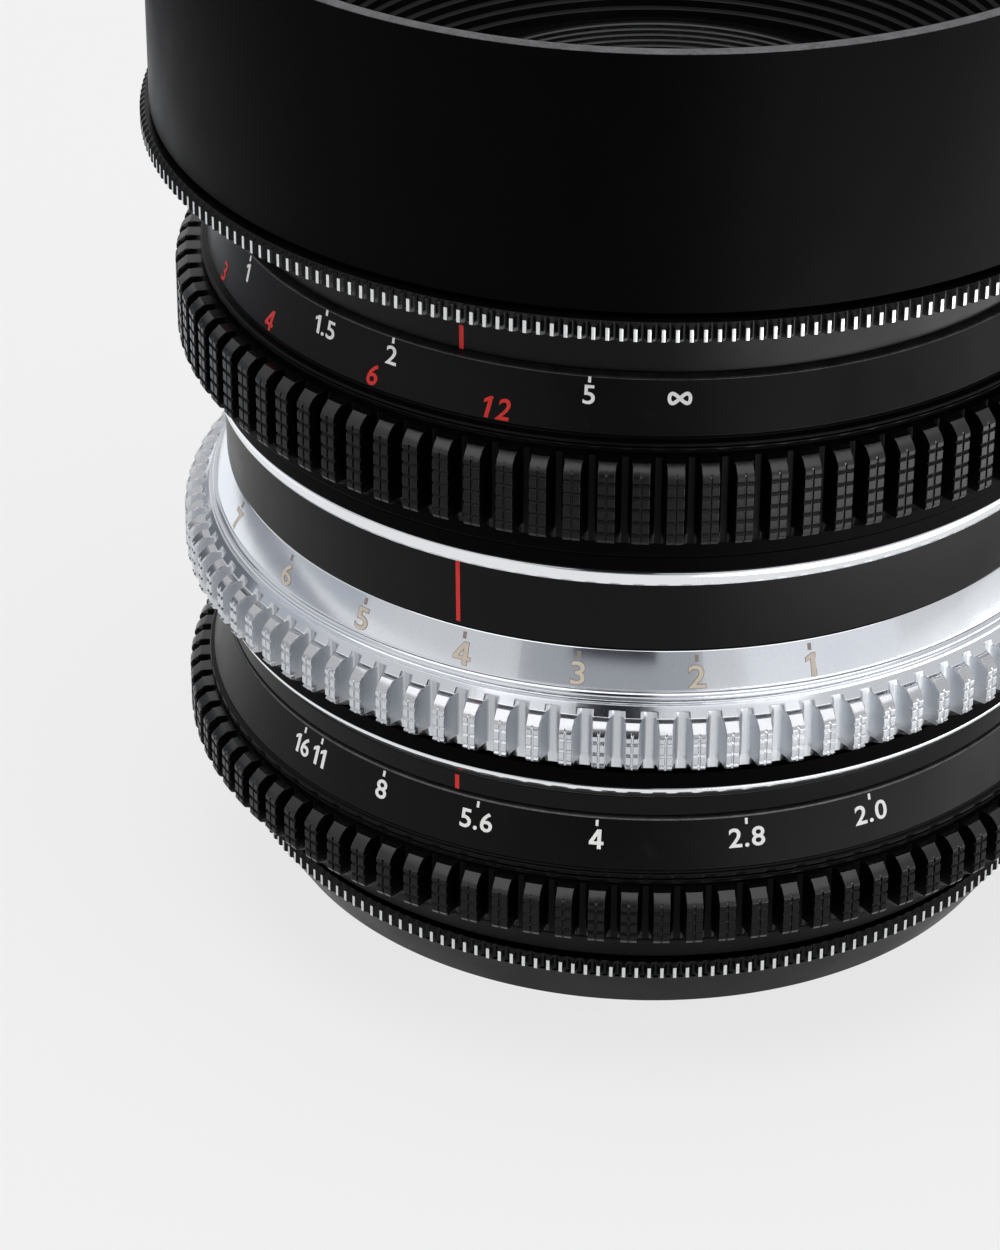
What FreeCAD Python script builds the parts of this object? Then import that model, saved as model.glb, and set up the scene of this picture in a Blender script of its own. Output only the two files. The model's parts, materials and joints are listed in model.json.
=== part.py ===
import FreeCAD, Part
import math
import os
from FreeCAD import Vector

# A Petzval lens with three geared rings. +Z points to the front of the lens, the
# origin is the centre of the mount's flange face, and the index marks face -Y.
# Lengths are in millimetres and angles in degrees, counter-clockwise seen from the front.

# Gaps and fits
RUNNING_FIT = 0.05
RING_GAP = 0.15
SEAT_GAP = 0.03

# Lengths along the axis, from the mount to the front rim
TAPER_HEIGHT = 4.2
REAR_KNURL_HEIGHT = 1.4
REAR_COLLAR_RISE = 1.3
APERTURE_RING_HEIGHT = 13.1
REAR_BAND_HEIGHT = 1.8
BOKEH_RING_HEIGHT = 10.0
MIDDLE_BAND_HEIGHT = 5.8
BRIGHT_RING_HEIGHT = 1.3
COLLAR_HEIGHT = 1.5
FOCUS_RING_HEIGHT = 14.5
FRONT_BAND_HEIGHT = 5.8
FRONT_KNURL_HEIGHT = 1.5
SHELL_SHADOW_GAP = 0.5
SHELL_HEIGHT = 20.1

# Radii of the outside
SHELL_EDGE = 1.5
SHELL_SEAT_WALL = 2.4
FRONT_KNURL_PROUD = 0.75
FRONT_BAND_RADIUS = 34.2
MIDDLE_BAND_RADIUS = 34.8
REAR_BAND_RADIUS = 35.0
BRIGHT_BEVEL = 0.8
COLLAR_OVERHANG = 0.9
REAR_KNURL_RADIUS = 34.2
REAR_KNURL_WIDTH = 1.6
FLANGE_EDGE_RADIUS = 31.3

# Geared bands of the three rings
TEETH = 94
TOOTH_MODULE = 0.8
TOOTH_DEPTH = 2.25
GROOVE_WIDTH = 1.0
GROOVE_CORNER = 0.25
GROOVE_RUNOUT = 0.3
FOCUS_TOOTH_HEIGHT = 6.5
FOCUS_TOOTH_RISE = 2.5
BOKEH_TOOTH_HEIGHT = 4.0
BOKEH_TOOTH_RISE = 1.2
APERTURE_TOOTH_HEIGHT = 4.25
APERTURE_TOOTH_RISE = 3.5
APERTURE_RELIEF = 1.0
APERTURE_LAND = 2.2
SKIRT_CLEARANCE = 0.4
TOOTH_CHAMFER = 1.2
TOOTH_CHAMFER_HEIGHT = 0.6
TOOTH_RELIEF = 0.1
FOCUS_SCALE_TOP_RADIUS = 34.8
FOCUS_SCALE_TAPER = 1.0
BOKEH_SCALE_TOP_RADIUS = 34.7
BOKEH_SCALE_TAPER = 1.0
APERTURE_SCALE_TOP_RADIUS = 35.1
APERTURE_SCALE_TAPER = 1.2
BEADS = 2
BEAD_HEIGHT = 0.4
BEAD_SPACING = 0.1
BEAD_PROUD = 0.45
BEAD_DIP = 0.25
BEAD_STEP = 0.35

# Fine knurls of the two retaining rings
FRONT_KNURLS = 255
REAR_KNURLS = 212
KNURL_DEPTH = 0.35
KNURL_CHAMFER = 0.5

# Barrels
GUIDE_BORE_RADIUS = 28.0
GUIDE_WALL = 2.0
GUIDE_TOP_DROP = 1.5
SLEEVE_WALL = 1.95
SLEEVE_FLANGE_WIDTH = 1.6
SLEEVE_FLANGE_HEIGHT = 1.8
NECK_RADIUS = 33.0
SHELL_SEAT_HEIGHT = 5.5
SPIGOT_WALL = 1.6

# Mouth of the hood: filter thread and ridged baffle
THREAD_DIAMETER = 77.0
THREAD_PITCH = 0.75
THREAD_LENGTH = 6.5
RIM_CHAMFER = 0.5
BAFFLE_MOUTH_RADIUS = 25.0
BAFFLE_MOUTH_DROP = 25.5
BAFFLE_WALL = 0.8
BAFFLE_SHELL_GAP = 1.0
BAFFLE_FLANGE_HEIGHT = 1.0
BAFFLE_LEDGE_WIDTH = 0.5
BAFFLE_LEDGE_HEIGHT = 1.0
BAFFLE_RIDGES = 6
RIDGE_DEPTH = 0.35

# Travel of the rings and of the two sliding cells
FOCUS_TURN_TO_FAR = 27.3
FOCUS_TURN_TO_NEAR = 80.0
FOCUS_TRAVEL = 3.0
BOKEH_TURN = 45.0
BOKEH_TRAVEL = 2.0
APERTURE_TURN_OPEN = 53.8
APERTURE_TURN_CLOSED = 25.4

# Cam followers
FOLLOWERS = 3
FOLLOWER_DIAMETER = 3.0
FOLLOWER_HOLD = 1.8
FOLLOWER_SINK = 0.2
FOCUS_FOLLOWER_ANGLE = 30.0
BOKEH_FOLLOWER_ANGLE = 90.0
FOCUS_FOLLOWER_RISE = 7.3
BOKEH_FOLLOWER_RISE = 4.2

# Screws
RING_SCREWS = 3
RING_SCREW_DIAMETER = 1.2
RING_SCREW_HEAD = 1.4
RING_SCREW_SINK = 0.2
RING_SCREW_ANGLE = 15.0
BARREL_SCREW_DIAMETER = 2.0
BARREL_SCREWS = 3
BARREL_SCREW_SINK = 0.2
BARREL_SCREW_EDGE = 0.4

# Mount
THROAT_RADIUS = 20.6
BAYONET_WALL = 1.2
BAYONET_LENGTH = 3.6
LUGS = 3
LUG_ANGLE = 56.0
LUG_WIDTH = 1.2
LUG_ROOT = 0.4
LUG_HEIGHT = 1.3
LUG_LIP = 0.2
PLATE_RADIUS = 29.0
PLATE_HEIGHT = 2.0
MOUNT_SCREWS = 4
MOUNT_SCREW_CIRCLE = 26.0
MOUNT_SCREW_DIAMETER = 1.8
MOUNT_SCREW_HEAD = 3.4
MOUNT_SCREW_HEAD_HEIGHT = 0.9
MOUNT_SCREW_LENGTH = 4.0
LOCK_HOLE_DIAMETER = 3.0
LOCK_HOLE_DEPTH = 1.2
LOCK_HOLE_ANGLE = 20.0
REAR_WINDOW_WIDTH = 30.0
REAR_WINDOW_HEIGHT = 20.0
REAR_WINDOW_PLATE = 1.2
REAR_WINDOW_CORNER = 2.0

# Iris
BLADES = 8
BLADE_THICKNESS = 0.14
BLADE_PITCH = 0.2
BLADE_INNER_RADIUS = 10.6
BLADE_OUTER_RADIUS = 16.8
BLADE_EAR_RADIUS = 21.5
BLADE_SPAN = 125.0
BLADE_EAR_SPAN = 27.0
BLADE_EAR_MARGIN = 3.0
BLADE_PIN_DIAMETER = 1.0
BLADE_PIN_RADIUS = 20.0
BLADE_PIN_ANGLE = 24.0
BLADE_PIN_SINK = 0.4
IRIS_OPEN_RADIUS = 10.2
IRIS_CLOSED_RADIUS = 1.28
IRIS_RISE = 8.0
IRIS_FLOOR = 1.0
IRIS_PIVOT_FLOOR = 0.2
IRIS_WALL = 1.6
ROTOR_HEIGHT = 2.2
ROTOR_BORE_RADIUS = 14.6
IRIS_COVER_HEIGHT = 1.5
IRIS_COVER_WIDTH = 4.0
DRIVE_PIN_DIAMETER = 1.6
DRIVE_PIN_HOLD = 2.0

# Optical cells. A glass is radius, middle thickness, front curve, rear curve;
# a curve is positive where the surface bulges outwards.
CELL_WALL = 2.2
SKIRT_WALL = 1.8
LEDGE_WIDTH = 1.6
FRONT_CROWN = (17.8, 10.5, 38.0, 40.0)
FRONT_FLINT = (17.8, 2.0, -40.0, -150.0)
BOKEH_FRONT_GLASS = (14.4, 6.0, 45.0, 60.0)
BOKEH_REAR_GLASS = (14.4, 2.0, -55.0, -60.0)
REAR_CROWN = (14.0, 5.8, 40.0, 60.0)
REAR_FLINT = (14.0, 1.8, -30.0, 70.0)
FRONT_NOSE_RADIUS = 20.0
FRONT_NOSE_RISE = 4.7
NOSE_WALL = 0.8
FRONT_RING_BORE = 16.0
FRONT_RING_RIDGES = 5
FRONT_RING_LIP = 0.5
BOKEH_SPACER = 0.8
REAR_SPACER = 0.9
RETAINER_WIDTH = 1.5
RETAINER_SINK = 0.2
CELL_WEB = 2.0
FOCUS_CELL_LENGTH = 13.6
FOCUS_CELL_DROP = 0.4
FRONT_GLASS_RISE = 3.1
BOKEH_CELL_LENGTH = 12.8
BOKEH_CELL_DROP = 2.1
BOKEH_GLASS_DROP = 0.8
REAR_GLASS_DROP = 0.5

# Places along the axis, stacked from the flange face
knurl_bottom = TAPER_HEIGHT
knurl_top = knurl_bottom + REAR_KNURL_HEIGHT
aperture_bottom = knurl_top + REAR_COLLAR_RISE + RING_GAP
aperture_top = aperture_bottom + APERTURE_RING_HEIGHT
rear_band_bottom = aperture_top + RING_GAP
rear_band_top = rear_band_bottom + REAR_BAND_HEIGHT
lower_bright_top = rear_band_top + BRIGHT_RING_HEIGHT
lower_collar_top = lower_bright_top + COLLAR_HEIGHT
bokeh_bottom = lower_collar_top + RING_GAP
bokeh_top = bokeh_bottom + BOKEH_RING_HEIGHT
middle_bottom = bokeh_top + RING_GAP
middle_top = middle_bottom + MIDDLE_BAND_HEIGHT
upper_bright_top = middle_top + BRIGHT_RING_HEIGHT
upper_collar_top = upper_bright_top + COLLAR_HEIGHT
focus_bottom = upper_collar_top + RING_GAP
focus_top = focus_bottom + FOCUS_RING_HEIGHT
front_band_bottom = focus_top + RING_GAP
front_band_top = front_band_bottom + FRONT_BAND_HEIGHT
front_knurl_top = front_band_top + FRONT_KNURL_HEIGHT
shell_bottom = front_knurl_top + SHELL_SHADOW_GAP
rim = shell_bottom + SHELL_HEIGHT

# Radii that follow from a fit or a seat
guide_radius = GUIDE_BORE_RADIUS + GUIDE_WALL
sleeve_bore = guide_radius + RUNNING_FIT
sleeve_radius = sleeve_bore + SLEEVE_WALL
sleeve_flange_radius = sleeve_radius + SLEEVE_FLANGE_WIDTH
tip_radius = TOOTH_MODULE * (TEETH + 2) / 2
root_radius = tip_radius - TOOTH_DEPTH * TOOTH_MODULE
groove_floor = root_radius - TOOTH_RELIEF
thread_radius = (THREAD_DIAMETER - 1.0825 * THREAD_PITCH) / 2
shell_radius = THREAD_DIAMETER / 2 + SHELL_EDGE
shell_seat_radius = shell_radius - SHELL_SEAT_WALL
front_knurl_radius = shell_radius + FRONT_KNURL_PROUD
bayonet_radius = THROAT_RADIUS + BAYONET_WALL
cell_slide_radius = GUIDE_BORE_RADIUS - RUNNING_FIT
guide_bottom = TAPER_HEIGHT
guide_top = front_band_top - GUIDE_TOP_DROP
baffle_seat = rim - THREAD_LENGTH
baffle_top = baffle_seat + BAFFLE_FLANGE_HEIGHT
baffle_mouth = rim - BAFFLE_MOUTH_DROP
baffle_wide_radius = shell_seat_radius - BAFFLE_SHELL_GAP

# Iris: the blade turns about its pivot, in step with the aperture ring
iris_floor_top = aperture_bottom + IRIS_RISE
blade_space = (BLADES + 1) * BLADE_PITCH
rotor_bottom = iris_floor_top + blade_space
rotor_top = rotor_bottom + ROTOR_HEIGHT
drive_height = rotor_bottom + ROTOR_HEIGHT / 2
aperture_sweep = APERTURE_TURN_OPEN + APERTURE_TURN_CLOSED
blade_swing = 2 * math.degrees(
    math.asin((BLADE_INNER_RADIUS - IRIS_CLOSED_RADIUS) / (2 * BLADE_PIN_RADIUS))
)
blade_ratio = blade_swing / aperture_sweep

# Cam followers at rest
focus_follower_height = focus_bottom + FOCUS_FOLLOWER_RISE
bokeh_follower_height = bokeh_bottom + BOKEH_FOLLOWER_RISE
focus_rate = FOCUS_TRAVEL / (FOCUS_TURN_TO_FAR + FOCUS_TURN_TO_NEAR)
bokeh_rate = BOKEH_TRAVEL / BOKEH_TURN
slot_width = FOLLOWER_DIAMETER + 2 * RUNNING_FIT


def turned(profile):
    """A solid of revolution from a closed outline of (radius, height) points."""
    points = [Vector(radius, 0, height) for radius, height in profile]
    face = Part.Face(Part.makePolygon(points + points[:1]))
    return face.revolve(Vector(0, 0, 0), Vector(0, 0, 1), 360)


def tube(outer, inner, bottom, top):
    return turned([(inner, bottom), (outer, bottom), (outer, top), (inner, top)])


def turn(shape, angle, centre=(0, 0)):
    copy = shape.copy()
    copy.rotate(Vector(centre[0], centre[1], 0), Vector(0, 0, 1), angle)
    return copy


def around(shape, count, first=0.0):
    """Copies of a shape, evenly spaced about the lens axis."""
    return [turn(shape, first + number * 360.0 / count) for number in range(count)]


def upright_rod(diameter, bottom, top, radius=0.0, angle=0.0):
    rod = Part.makeCylinder(diameter / 2, top - bottom, Vector(radius, 0, bottom))
    return turn(rod, angle)


def radial_rod(diameter, inner, outer, height, angle=0.0):
    rod = Part.makeCylinder(diameter / 2, outer - inner, Vector(inner, 0, height), Vector(1, 0, 0))
    return turn(rod, angle)


def polar(radius, angle):
    return Vector(radius * math.cos(math.radians(angle)), radius * math.sin(math.radians(angle)), 0)


def sector(inner, outer, start, end, bottom, height):
    """A flat curved plate between two radii and two angles."""
    middle = (start + end) / 2
    edges = [
        Part.makeLine(polar(inner, start), polar(outer, start)),
        Part.Arc(polar(outer, start), polar(outer, middle), polar(outer, end)).toShape(),
        Part.makeLine(polar(outer, end), polar(inner, end)),
        Part.Arc(polar(inner, end), polar(inner, middle), polar(inner, start)).toShape(),
    ]
    plate = Part.Face(Part.Wire(edges)).extrude(Vector(0, 0, height))
    plate.translate(Vector(0, 0, bottom))
    return plate


def sag(curve, radius):
    """Depth of a spherical surface at a radius, positive where it bulges outwards."""
    depth = abs(curve) - math.sqrt(curve ** 2 - radius ** 2)
    return math.copysign(depth, curve)


def glass(element, front_vertex):
    radius, thickness, front_curve, rear_curve = element
    rear_vertex = front_vertex - thickness
    mid = radius / 2

    def front(at):
        return Vector(at, 0, front_vertex - sag(front_curve, at))

    def rear(at):
        return Vector(at, 0, rear_vertex + sag(rear_curve, at))

    edges = [
        Part.makeLine(rear(0), front(0)),
        Part.Arc(front(0), front(mid), front(radius)).toShape(),
        Part.makeLine(front(radius), rear(radius)),
        Part.Arc(rear(radius), rear(mid), rear(0)).toShape(),
    ]
    face = Part.Face(Part.Wire(edges))
    return face.revolve(Vector(0, 0, 0), Vector(0, 0, 1), 360)


def front_seat(element, front_vertex, inner):
    """Height at which a ring from the inner radius outwards touches the front of a glass."""
    radius, thickness, curve, rear_curve = element
    return front_vertex - min(sag(curve, inner), sag(curve, radius))


def rear_seat(element, front_vertex, inner):
    """Height at which a ring from the inner radius outwards touches the rear of a glass."""
    radius, thickness, front_curve, curve = element
    return front_vertex - thickness + min(sag(curve, inner), sag(curve, radius))


def front_rim(element, front_vertex):
    return front_vertex - sag(element[2], element[0])


def cam_slot(inner, outer, rest_height, rate, turn_down, turn_up, angle):
    """The path of a follower through a sleeve: the slot climbs against the ring's turn."""
    sweep = turn_down + turn_up
    rise = rate * sweep
    half = slot_width / 2
    helix = Part.makeHelix(rise * 360 / sweep, rise, (inner + outer) / 2, 0, True)
    corners = [(inner - 1, -half), (outer + 1, -half), (outer + 1, half), (inner - 1, half)]
    points = [Vector(radius, 0, height) for radius, height in corners]
    section = Part.makePolygon(points + points[:1])
    pipe = Part.BRepOffsetAPI.MakePipeShell(helix)
    pipe.setBiNormalMode(Vector(0, 0, 1))
    pipe.add(section)
    pipe.build()
    pipe.makeSolid()
    first_end = radial_rod(slot_width, inner - 1, outer + 1, 0)
    last_end = radial_rod(slot_width, inner - 1, outer + 1, rise, -sweep)
    slot = pipe.shape().fuse([first_end, last_end])
    slot.translate(Vector(0, 0, rest_height - rate * turn_down))
    return turn(slot, angle + turn_down)


def guide_slot(rest_height, down, up, angle):
    """A straight slot that lets a follower slide along the axis but not turn."""
    low = rest_height - down
    high = rest_height + up
    inner = GUIDE_BORE_RADIUS - 1
    outer = guide_radius + 1
    ends = [radial_rod(slot_width, inner, outer, low), radial_rod(slot_width, inner, outer, high)]
    middle = Part.makeBox(outer - inner, slot_width, high - low, Vector(inner, -slot_width / 2, low))
    return turn(middle.fuse(ends), angle)


def tooth_groove(bottom, top):
    """One groove between two teeth, cut from outside down to the root circle."""
    half = GROOVE_WIDTH / 2
    floor_half = half - GROOVE_CORNER
    wall_start = root_radius + GROOVE_CORNER
    outer = tip_radius + 1
    corners = [
        (root_radius, -floor_half), (wall_start, -half), (outer, -half),
        (outer, half), (wall_start, half), (root_radius, floor_half),
    ]
    points = [Vector(radius, side, bottom - GROOVE_RUNOUT) for radius, side in corners]
    face = Part.Face(Part.makePolygon(points + points[:1]))
    return face.extrude(Vector(0, 0, top - bottom + 2 * GROOVE_RUNOUT))


def beads(radius, bottom):
    """Outline of a row of square beads with shallow valleys between them."""
    outline = []
    for number in range(BEADS):
        base = bottom + number * (BEAD_HEIGHT + BEAD_SPACING)
        crest = [(radius, base), (radius, base + BEAD_HEIGHT)]
        outline += [(radius - BEAD_DIP, base)] + crest + [(radius - BEAD_DIP, base + BEAD_HEIGHT)]
    return outline[1:-1]


def geared_ring(inner_outline, top, scale_top, scale_taper, skirt, tooth_bottom, tooth_height):
    """A ring with a conical scale band, two beads and a band of teeth below it."""
    tooth_top = tooth_bottom + tooth_height
    scale_foot = scale_top + scale_taper
    outline = skirt + [
        (groove_floor, tooth_bottom),
        (tip_radius, tooth_bottom),
        (tip_radius, tooth_top - TOOTH_CHAMFER_HEIGHT),
        (tip_radius - TOOTH_CHAMFER, tooth_top),
        (scale_foot, tooth_top),
        (scale_foot, tooth_top + BEAD_STEP),
    ]
    outline += beads(scale_foot + BEAD_PROUD, tooth_top + BEAD_STEP)
    outline += [(scale_foot, outline[-1][1]), (scale_top, top)]
    grooves = around(tooth_groove(tooth_bottom, tooth_top), TEETH)
    return turned(outline + inner_outline).cut(grooves)


def knurled_ring(radius, inner, bottom, top, count):
    """A thin ring whose rim is cut into fine ribs."""
    ring = turned([
        (inner, bottom),
        (radius, bottom),
        (radius, top - KNURL_CHAMFER),
        (radius - KNURL_CHAMFER * 2, top),
        (inner, top),
    ])
    half = math.pi * radius / count / 2
    floor = radius - KNURL_DEPTH
    corners = [(floor, -half / 2), (radius + 1, -half), (radius + 1, half), (floor, half / 2)]
    points = [Vector(distance, side, bottom - 1) for distance, side in corners]
    notch = Part.Face(Part.makePolygon(points + points[:1])).extrude(Vector(0, 0, top - bottom + 2))
    return ring.cut(around(notch, count))


# Fixed barrel

def front_shell():
    """The hood: a filter thread at its mouth and a ledge below it that carries the baffle."""
    return turned([
        (shell_seat_radius, shell_bottom),
        (shell_radius, shell_bottom),
        (shell_radius, rim),
        (thread_radius + RIM_CHAMFER, rim),
        (thread_radius, rim - RIM_CHAMFER),
        (thread_radius, baffle_top),
        (shell_seat_radius, baffle_top),
        (shell_seat_radius, baffle_seat),
        (shell_seat_radius - BAFFLE_LEDGE_WIDTH, baffle_seat),
        (shell_seat_radius - BAFFLE_LEDGE_WIDTH, baffle_seat - BAFFLE_LEDGE_HEIGHT),
        (shell_seat_radius, baffle_seat - BAFFLE_LEDGE_HEIGHT),
    ])


def front_barrel():
    spigot_bore = shell_seat_radius - SPIGOT_WALL
    body = turned([
        (guide_radius, front_band_bottom),
        (FRONT_BAND_RADIUS, front_band_bottom),
        (FRONT_BAND_RADIUS, front_band_top),
        (shell_seat_radius, front_band_top),
        (shell_seat_radius, shell_bottom + SHELL_SEAT_HEIGHT),
        (spigot_bore, shell_bottom + SHELL_SEAT_HEIGHT),
        (spigot_bore, front_band_top + SPIGOT_WALL),
        (guide_radius, front_band_top + SPIGOT_WALL),
    ])
    return body.cut(around(front_barrel_screw(), BARREL_SCREWS))


def barrel_screw(outer, height):
    """A headless screw that ends just under the surface of its barrel."""
    inner = GUIDE_BORE_RADIUS + BARREL_SCREW_SINK
    return radial_rod(BARREL_SCREW_DIAMETER, inner, outer - BARREL_SCREW_SINK, height)


def front_barrel_screw():
    return barrel_screw(FRONT_BAND_RADIUS, guide_top - BARREL_SCREW_DIAMETER / 2 - BARREL_SCREW_EDGE)


def middle_barrel_screw():
    return barrel_screw(NECK_RADIUS, (middle_top + upper_collar_top) / 2)


def rear_barrel_screw():
    return barrel_screw(NECK_RADIUS, (rear_band_top + lower_collar_top) / 2)


def ridged_baffle():
    """A cone that opens towards the front, stepped inside and flanged at its seat."""
    slope = (baffle_wide_radius - BAFFLE_MOUTH_RADIUS) / (baffle_top - baffle_mouth)
    wall = BAFFLE_WALL * math.hypot(1, slope)
    inside = []
    ridge_height = (baffle_top - baffle_mouth) / BAFFLE_RIDGES
    for number in range(BAFFLE_RIDGES):
        base = number * ridge_height
        inside.append((BAFFLE_MOUTH_RADIUS + slope * base, baffle_mouth + base))
        crest = base + ridge_height
        inside.append((BAFFLE_MOUTH_RADIUS + slope * crest - RIDGE_DEPTH, baffle_mouth + crest))
    outside = [
        (shell_seat_radius, baffle_top),
        (shell_seat_radius, baffle_seat),
        (baffle_wide_radius + wall - slope * BAFFLE_FLANGE_HEIGHT, baffle_seat),
        (BAFFLE_MOUTH_RADIUS + wall, baffle_mouth),
    ]
    return turned(inside + outside)


def middle_barrel():
    body = turned([
        (guide_radius, middle_bottom),
        (MIDDLE_BAND_RADIUS, middle_bottom),
        (MIDDLE_BAND_RADIUS, middle_top),
        (NECK_RADIUS, middle_top),
        (NECK_RADIUS, upper_collar_top),
        (guide_radius, upper_collar_top),
    ])
    return body.cut(around(middle_barrel_screw(), BARREL_SCREWS))


def rear_index_ring():
    body = turned([
        (guide_radius, rear_band_bottom),
        (REAR_BAND_RADIUS, rear_band_bottom),
        (REAR_BAND_RADIUS, rear_band_top),
        (NECK_RADIUS, rear_band_top),
        (NECK_RADIUS, lower_collar_top),
        (guide_radius, lower_collar_top),
    ])
    return body.cut(around(rear_barrel_screw(), BARREL_SCREWS))


def bright_ring(band_radius, bottom, top):
    """A polished ring whose rim leans inwards towards the rear."""
    return turned([
        (NECK_RADIUS, bottom),
        (band_radius, bottom),
        (band_radius + BRIGHT_BEVEL, top),
        (NECK_RADIUS, top),
    ])


def collar(band_radius, bottom, top):
    return tube(band_radius + COLLAR_OVERHANG, NECK_RADIUS, bottom, top)


def guide_barrel():
    body = tube(guide_radius, GUIDE_BORE_RADIUS, guide_bottom, guide_top)
    cuts = []
    for number in range(FOLLOWERS):
        step = number * 360 / FOLLOWERS
        down = focus_rate * FOCUS_TURN_TO_FAR
        up = focus_rate * FOCUS_TURN_TO_NEAR
        cuts.append(guide_slot(focus_follower_height, down, up, FOCUS_FOLLOWER_ANGLE + step))
        cuts.append(guide_slot(
            bokeh_follower_height, BOKEH_TRAVEL, BOKEH_TRAVEL, BOKEH_FOLLOWER_ANGLE + step
        ))
    drive_slot_height = DRIVE_PIN_DIAMETER + 2 * RUNNING_FIT
    pin_angle = math.degrees(DRIVE_PIN_DIAMETER / guide_radius)
    cuts.append(sector(
        GUIDE_BORE_RADIUS - 1, guide_radius + 1,
        -APERTURE_TURN_OPEN - pin_angle, APERTURE_TURN_CLOSED + pin_angle,
        drive_height - drive_slot_height / 2, drive_slot_height,
    ))
    cuts += around(front_barrel_screw(), BARREL_SCREWS)
    cuts += around(middle_barrel_screw(), BARREL_SCREWS)
    cuts += around(rear_barrel_screw(), BARREL_SCREWS)
    return body.cut(cuts)


def mount_screw():
    """A countersunk screw that holds the mount plate to the rear barrel."""
    place = Vector(MOUNT_SCREW_CIRCLE, 0, 0)
    head = Part.makeCone(MOUNT_SCREW_HEAD / 2, MOUNT_SCREW_DIAMETER / 2, MOUNT_SCREW_HEAD_HEIGHT, place)
    return head.fuse(upright_rod(MOUNT_SCREW_DIAMETER, 0, MOUNT_SCREW_LENGTH, MOUNT_SCREW_CIRCLE))


def mount_screws():
    return around(mount_screw(), MOUNT_SCREWS, 45)


def rear_barrel():
    collar = REAR_KNURL_RADIUS - REAR_KNURL_WIDTH
    body = turned([
        (PLATE_RADIUS, 0),
        (FLANGE_EDGE_RADIUS, 0),
        (REAR_KNURL_RADIUS - KNURL_DEPTH, TAPER_HEIGHT),
        (collar, TAPER_HEIGHT),
        (collar, aperture_bottom - RING_GAP),
        (guide_radius, aperture_bottom - RING_GAP),
        (guide_radius, TAPER_HEIGHT),
        (bayonet_radius, TAPER_HEIGHT),
        (bayonet_radius, PLATE_HEIGHT),
        (PLATE_RADIUS, PLATE_HEIGHT),
    ])
    return body.cut(mount_screws())


def bayonet_mount():
    """The metal flange with its throat tube, three lugs and the hole for the lock pin."""
    body = turned([
        (THROAT_RADIUS, -BAYONET_LENGTH),
        (bayonet_radius, -BAYONET_LENGTH),
        (bayonet_radius, 0),
        (PLATE_RADIUS, 0),
        (PLATE_RADIUS, PLATE_HEIGHT),
        (THROAT_RADIUS, PLATE_HEIGHT),
    ])
    lug = sector(
        bayonet_radius - LUG_ROOT, bayonet_radius + LUG_WIDTH, -LUG_ANGLE / 2, LUG_ANGLE / 2,
        -BAYONET_LENGTH + LUG_LIP, LUG_HEIGHT,
    )
    lock_hole = upright_rod(LOCK_HOLE_DIAMETER, -1, LOCK_HOLE_DEPTH, MOUNT_SCREW_CIRCLE, LOCK_HOLE_ANGLE)
    return body.fuse(around(lug, LUGS)).cut(mount_screws() + [lock_hole])


def rear_light_frame():
    """The black frame with an oblong window that sits in the throat of the mount."""
    bottom = -BAYONET_LENGTH + LUG_LIP
    disc = Part.makeCylinder(THROAT_RADIUS, REAR_WINDOW_PLATE, Vector(0, 0, bottom))
    corner = Vector(-REAR_WINDOW_WIDTH / 2, -REAR_WINDOW_HEIGHT / 2, bottom - 1)
    window = Part.makeBox(REAR_WINDOW_WIDTH, REAR_WINDOW_HEIGHT, REAR_WINDOW_PLATE + 2, corner)
    upright = [edge for edge in window.Edges if edge.tangentAt(0).z ** 2 > 0.5]
    rounded = window.makeFillet(REAR_WINDOW_CORNER, upright)
    return disc.cut(rounded)


# Rings

def sleeve(bottom, top, height, rate, turn_down, turn_up, angle):
    """A cam sleeve with one climbing slot for each follower and a flange at its front."""
    flange_bottom = top - SLEEVE_FLANGE_HEIGHT
    body = turned([
        (sleeve_bore, bottom),
        (sleeve_radius, bottom),
        (sleeve_radius, flange_bottom),
        (sleeve_flange_radius, flange_bottom),
        (sleeve_flange_radius, top),
        (sleeve_bore, top),
    ])
    cuts = []
    for number in range(FOLLOWERS):
        step = number * 360 / FOLLOWERS
        cuts.append(cam_slot(sleeve_bore, sleeve_radius, height, rate, turn_down, turn_up, angle + step))
    cuts += ring_screws(top)
    return body.cut(cuts)


def ring_screws(sleeve_top):
    """Screws through the sleeve's flange into the ledge of its ring."""
    circle = (sleeve_radius + sleeve_flange_radius) / 2
    head_bottom = sleeve_top - SLEEVE_FLANGE_HEIGHT / 2
    shank = upright_rod(RING_SCREW_DIAMETER, sleeve_top - 2 * SLEEVE_FLANGE_HEIGHT, head_bottom, circle)
    head = upright_rod(RING_SCREW_HEAD, head_bottom, sleeve_top - RING_SCREW_SINK, circle)
    return around(shank.fuse(head), RING_SCREWS, RING_SCREW_ANGLE)


def ring_bore(bottom, top):
    """Inner outline of a ring that is carried by a cam sleeve, from the front down."""
    recess = sleeve_flange_radius + SEAT_GAP
    return [
        (recess, top),
        (recess, top - SLEEVE_FLANGE_HEIGHT),
        (sleeve_radius, top - SLEEVE_FLANGE_HEIGHT),
        (sleeve_radius, bottom),
    ]


def focus_gear_ring():
    tooth_bottom = focus_bottom + FOCUS_TOOTH_RISE
    ring = geared_ring(
        ring_bore(focus_bottom, focus_top), focus_top, FOCUS_SCALE_TOP_RADIUS, FOCUS_SCALE_TAPER,
        [(groove_floor, focus_bottom)], tooth_bottom, FOCUS_TOOTH_HEIGHT,
    )
    return ring.cut(ring_screws(focus_top))


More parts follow.
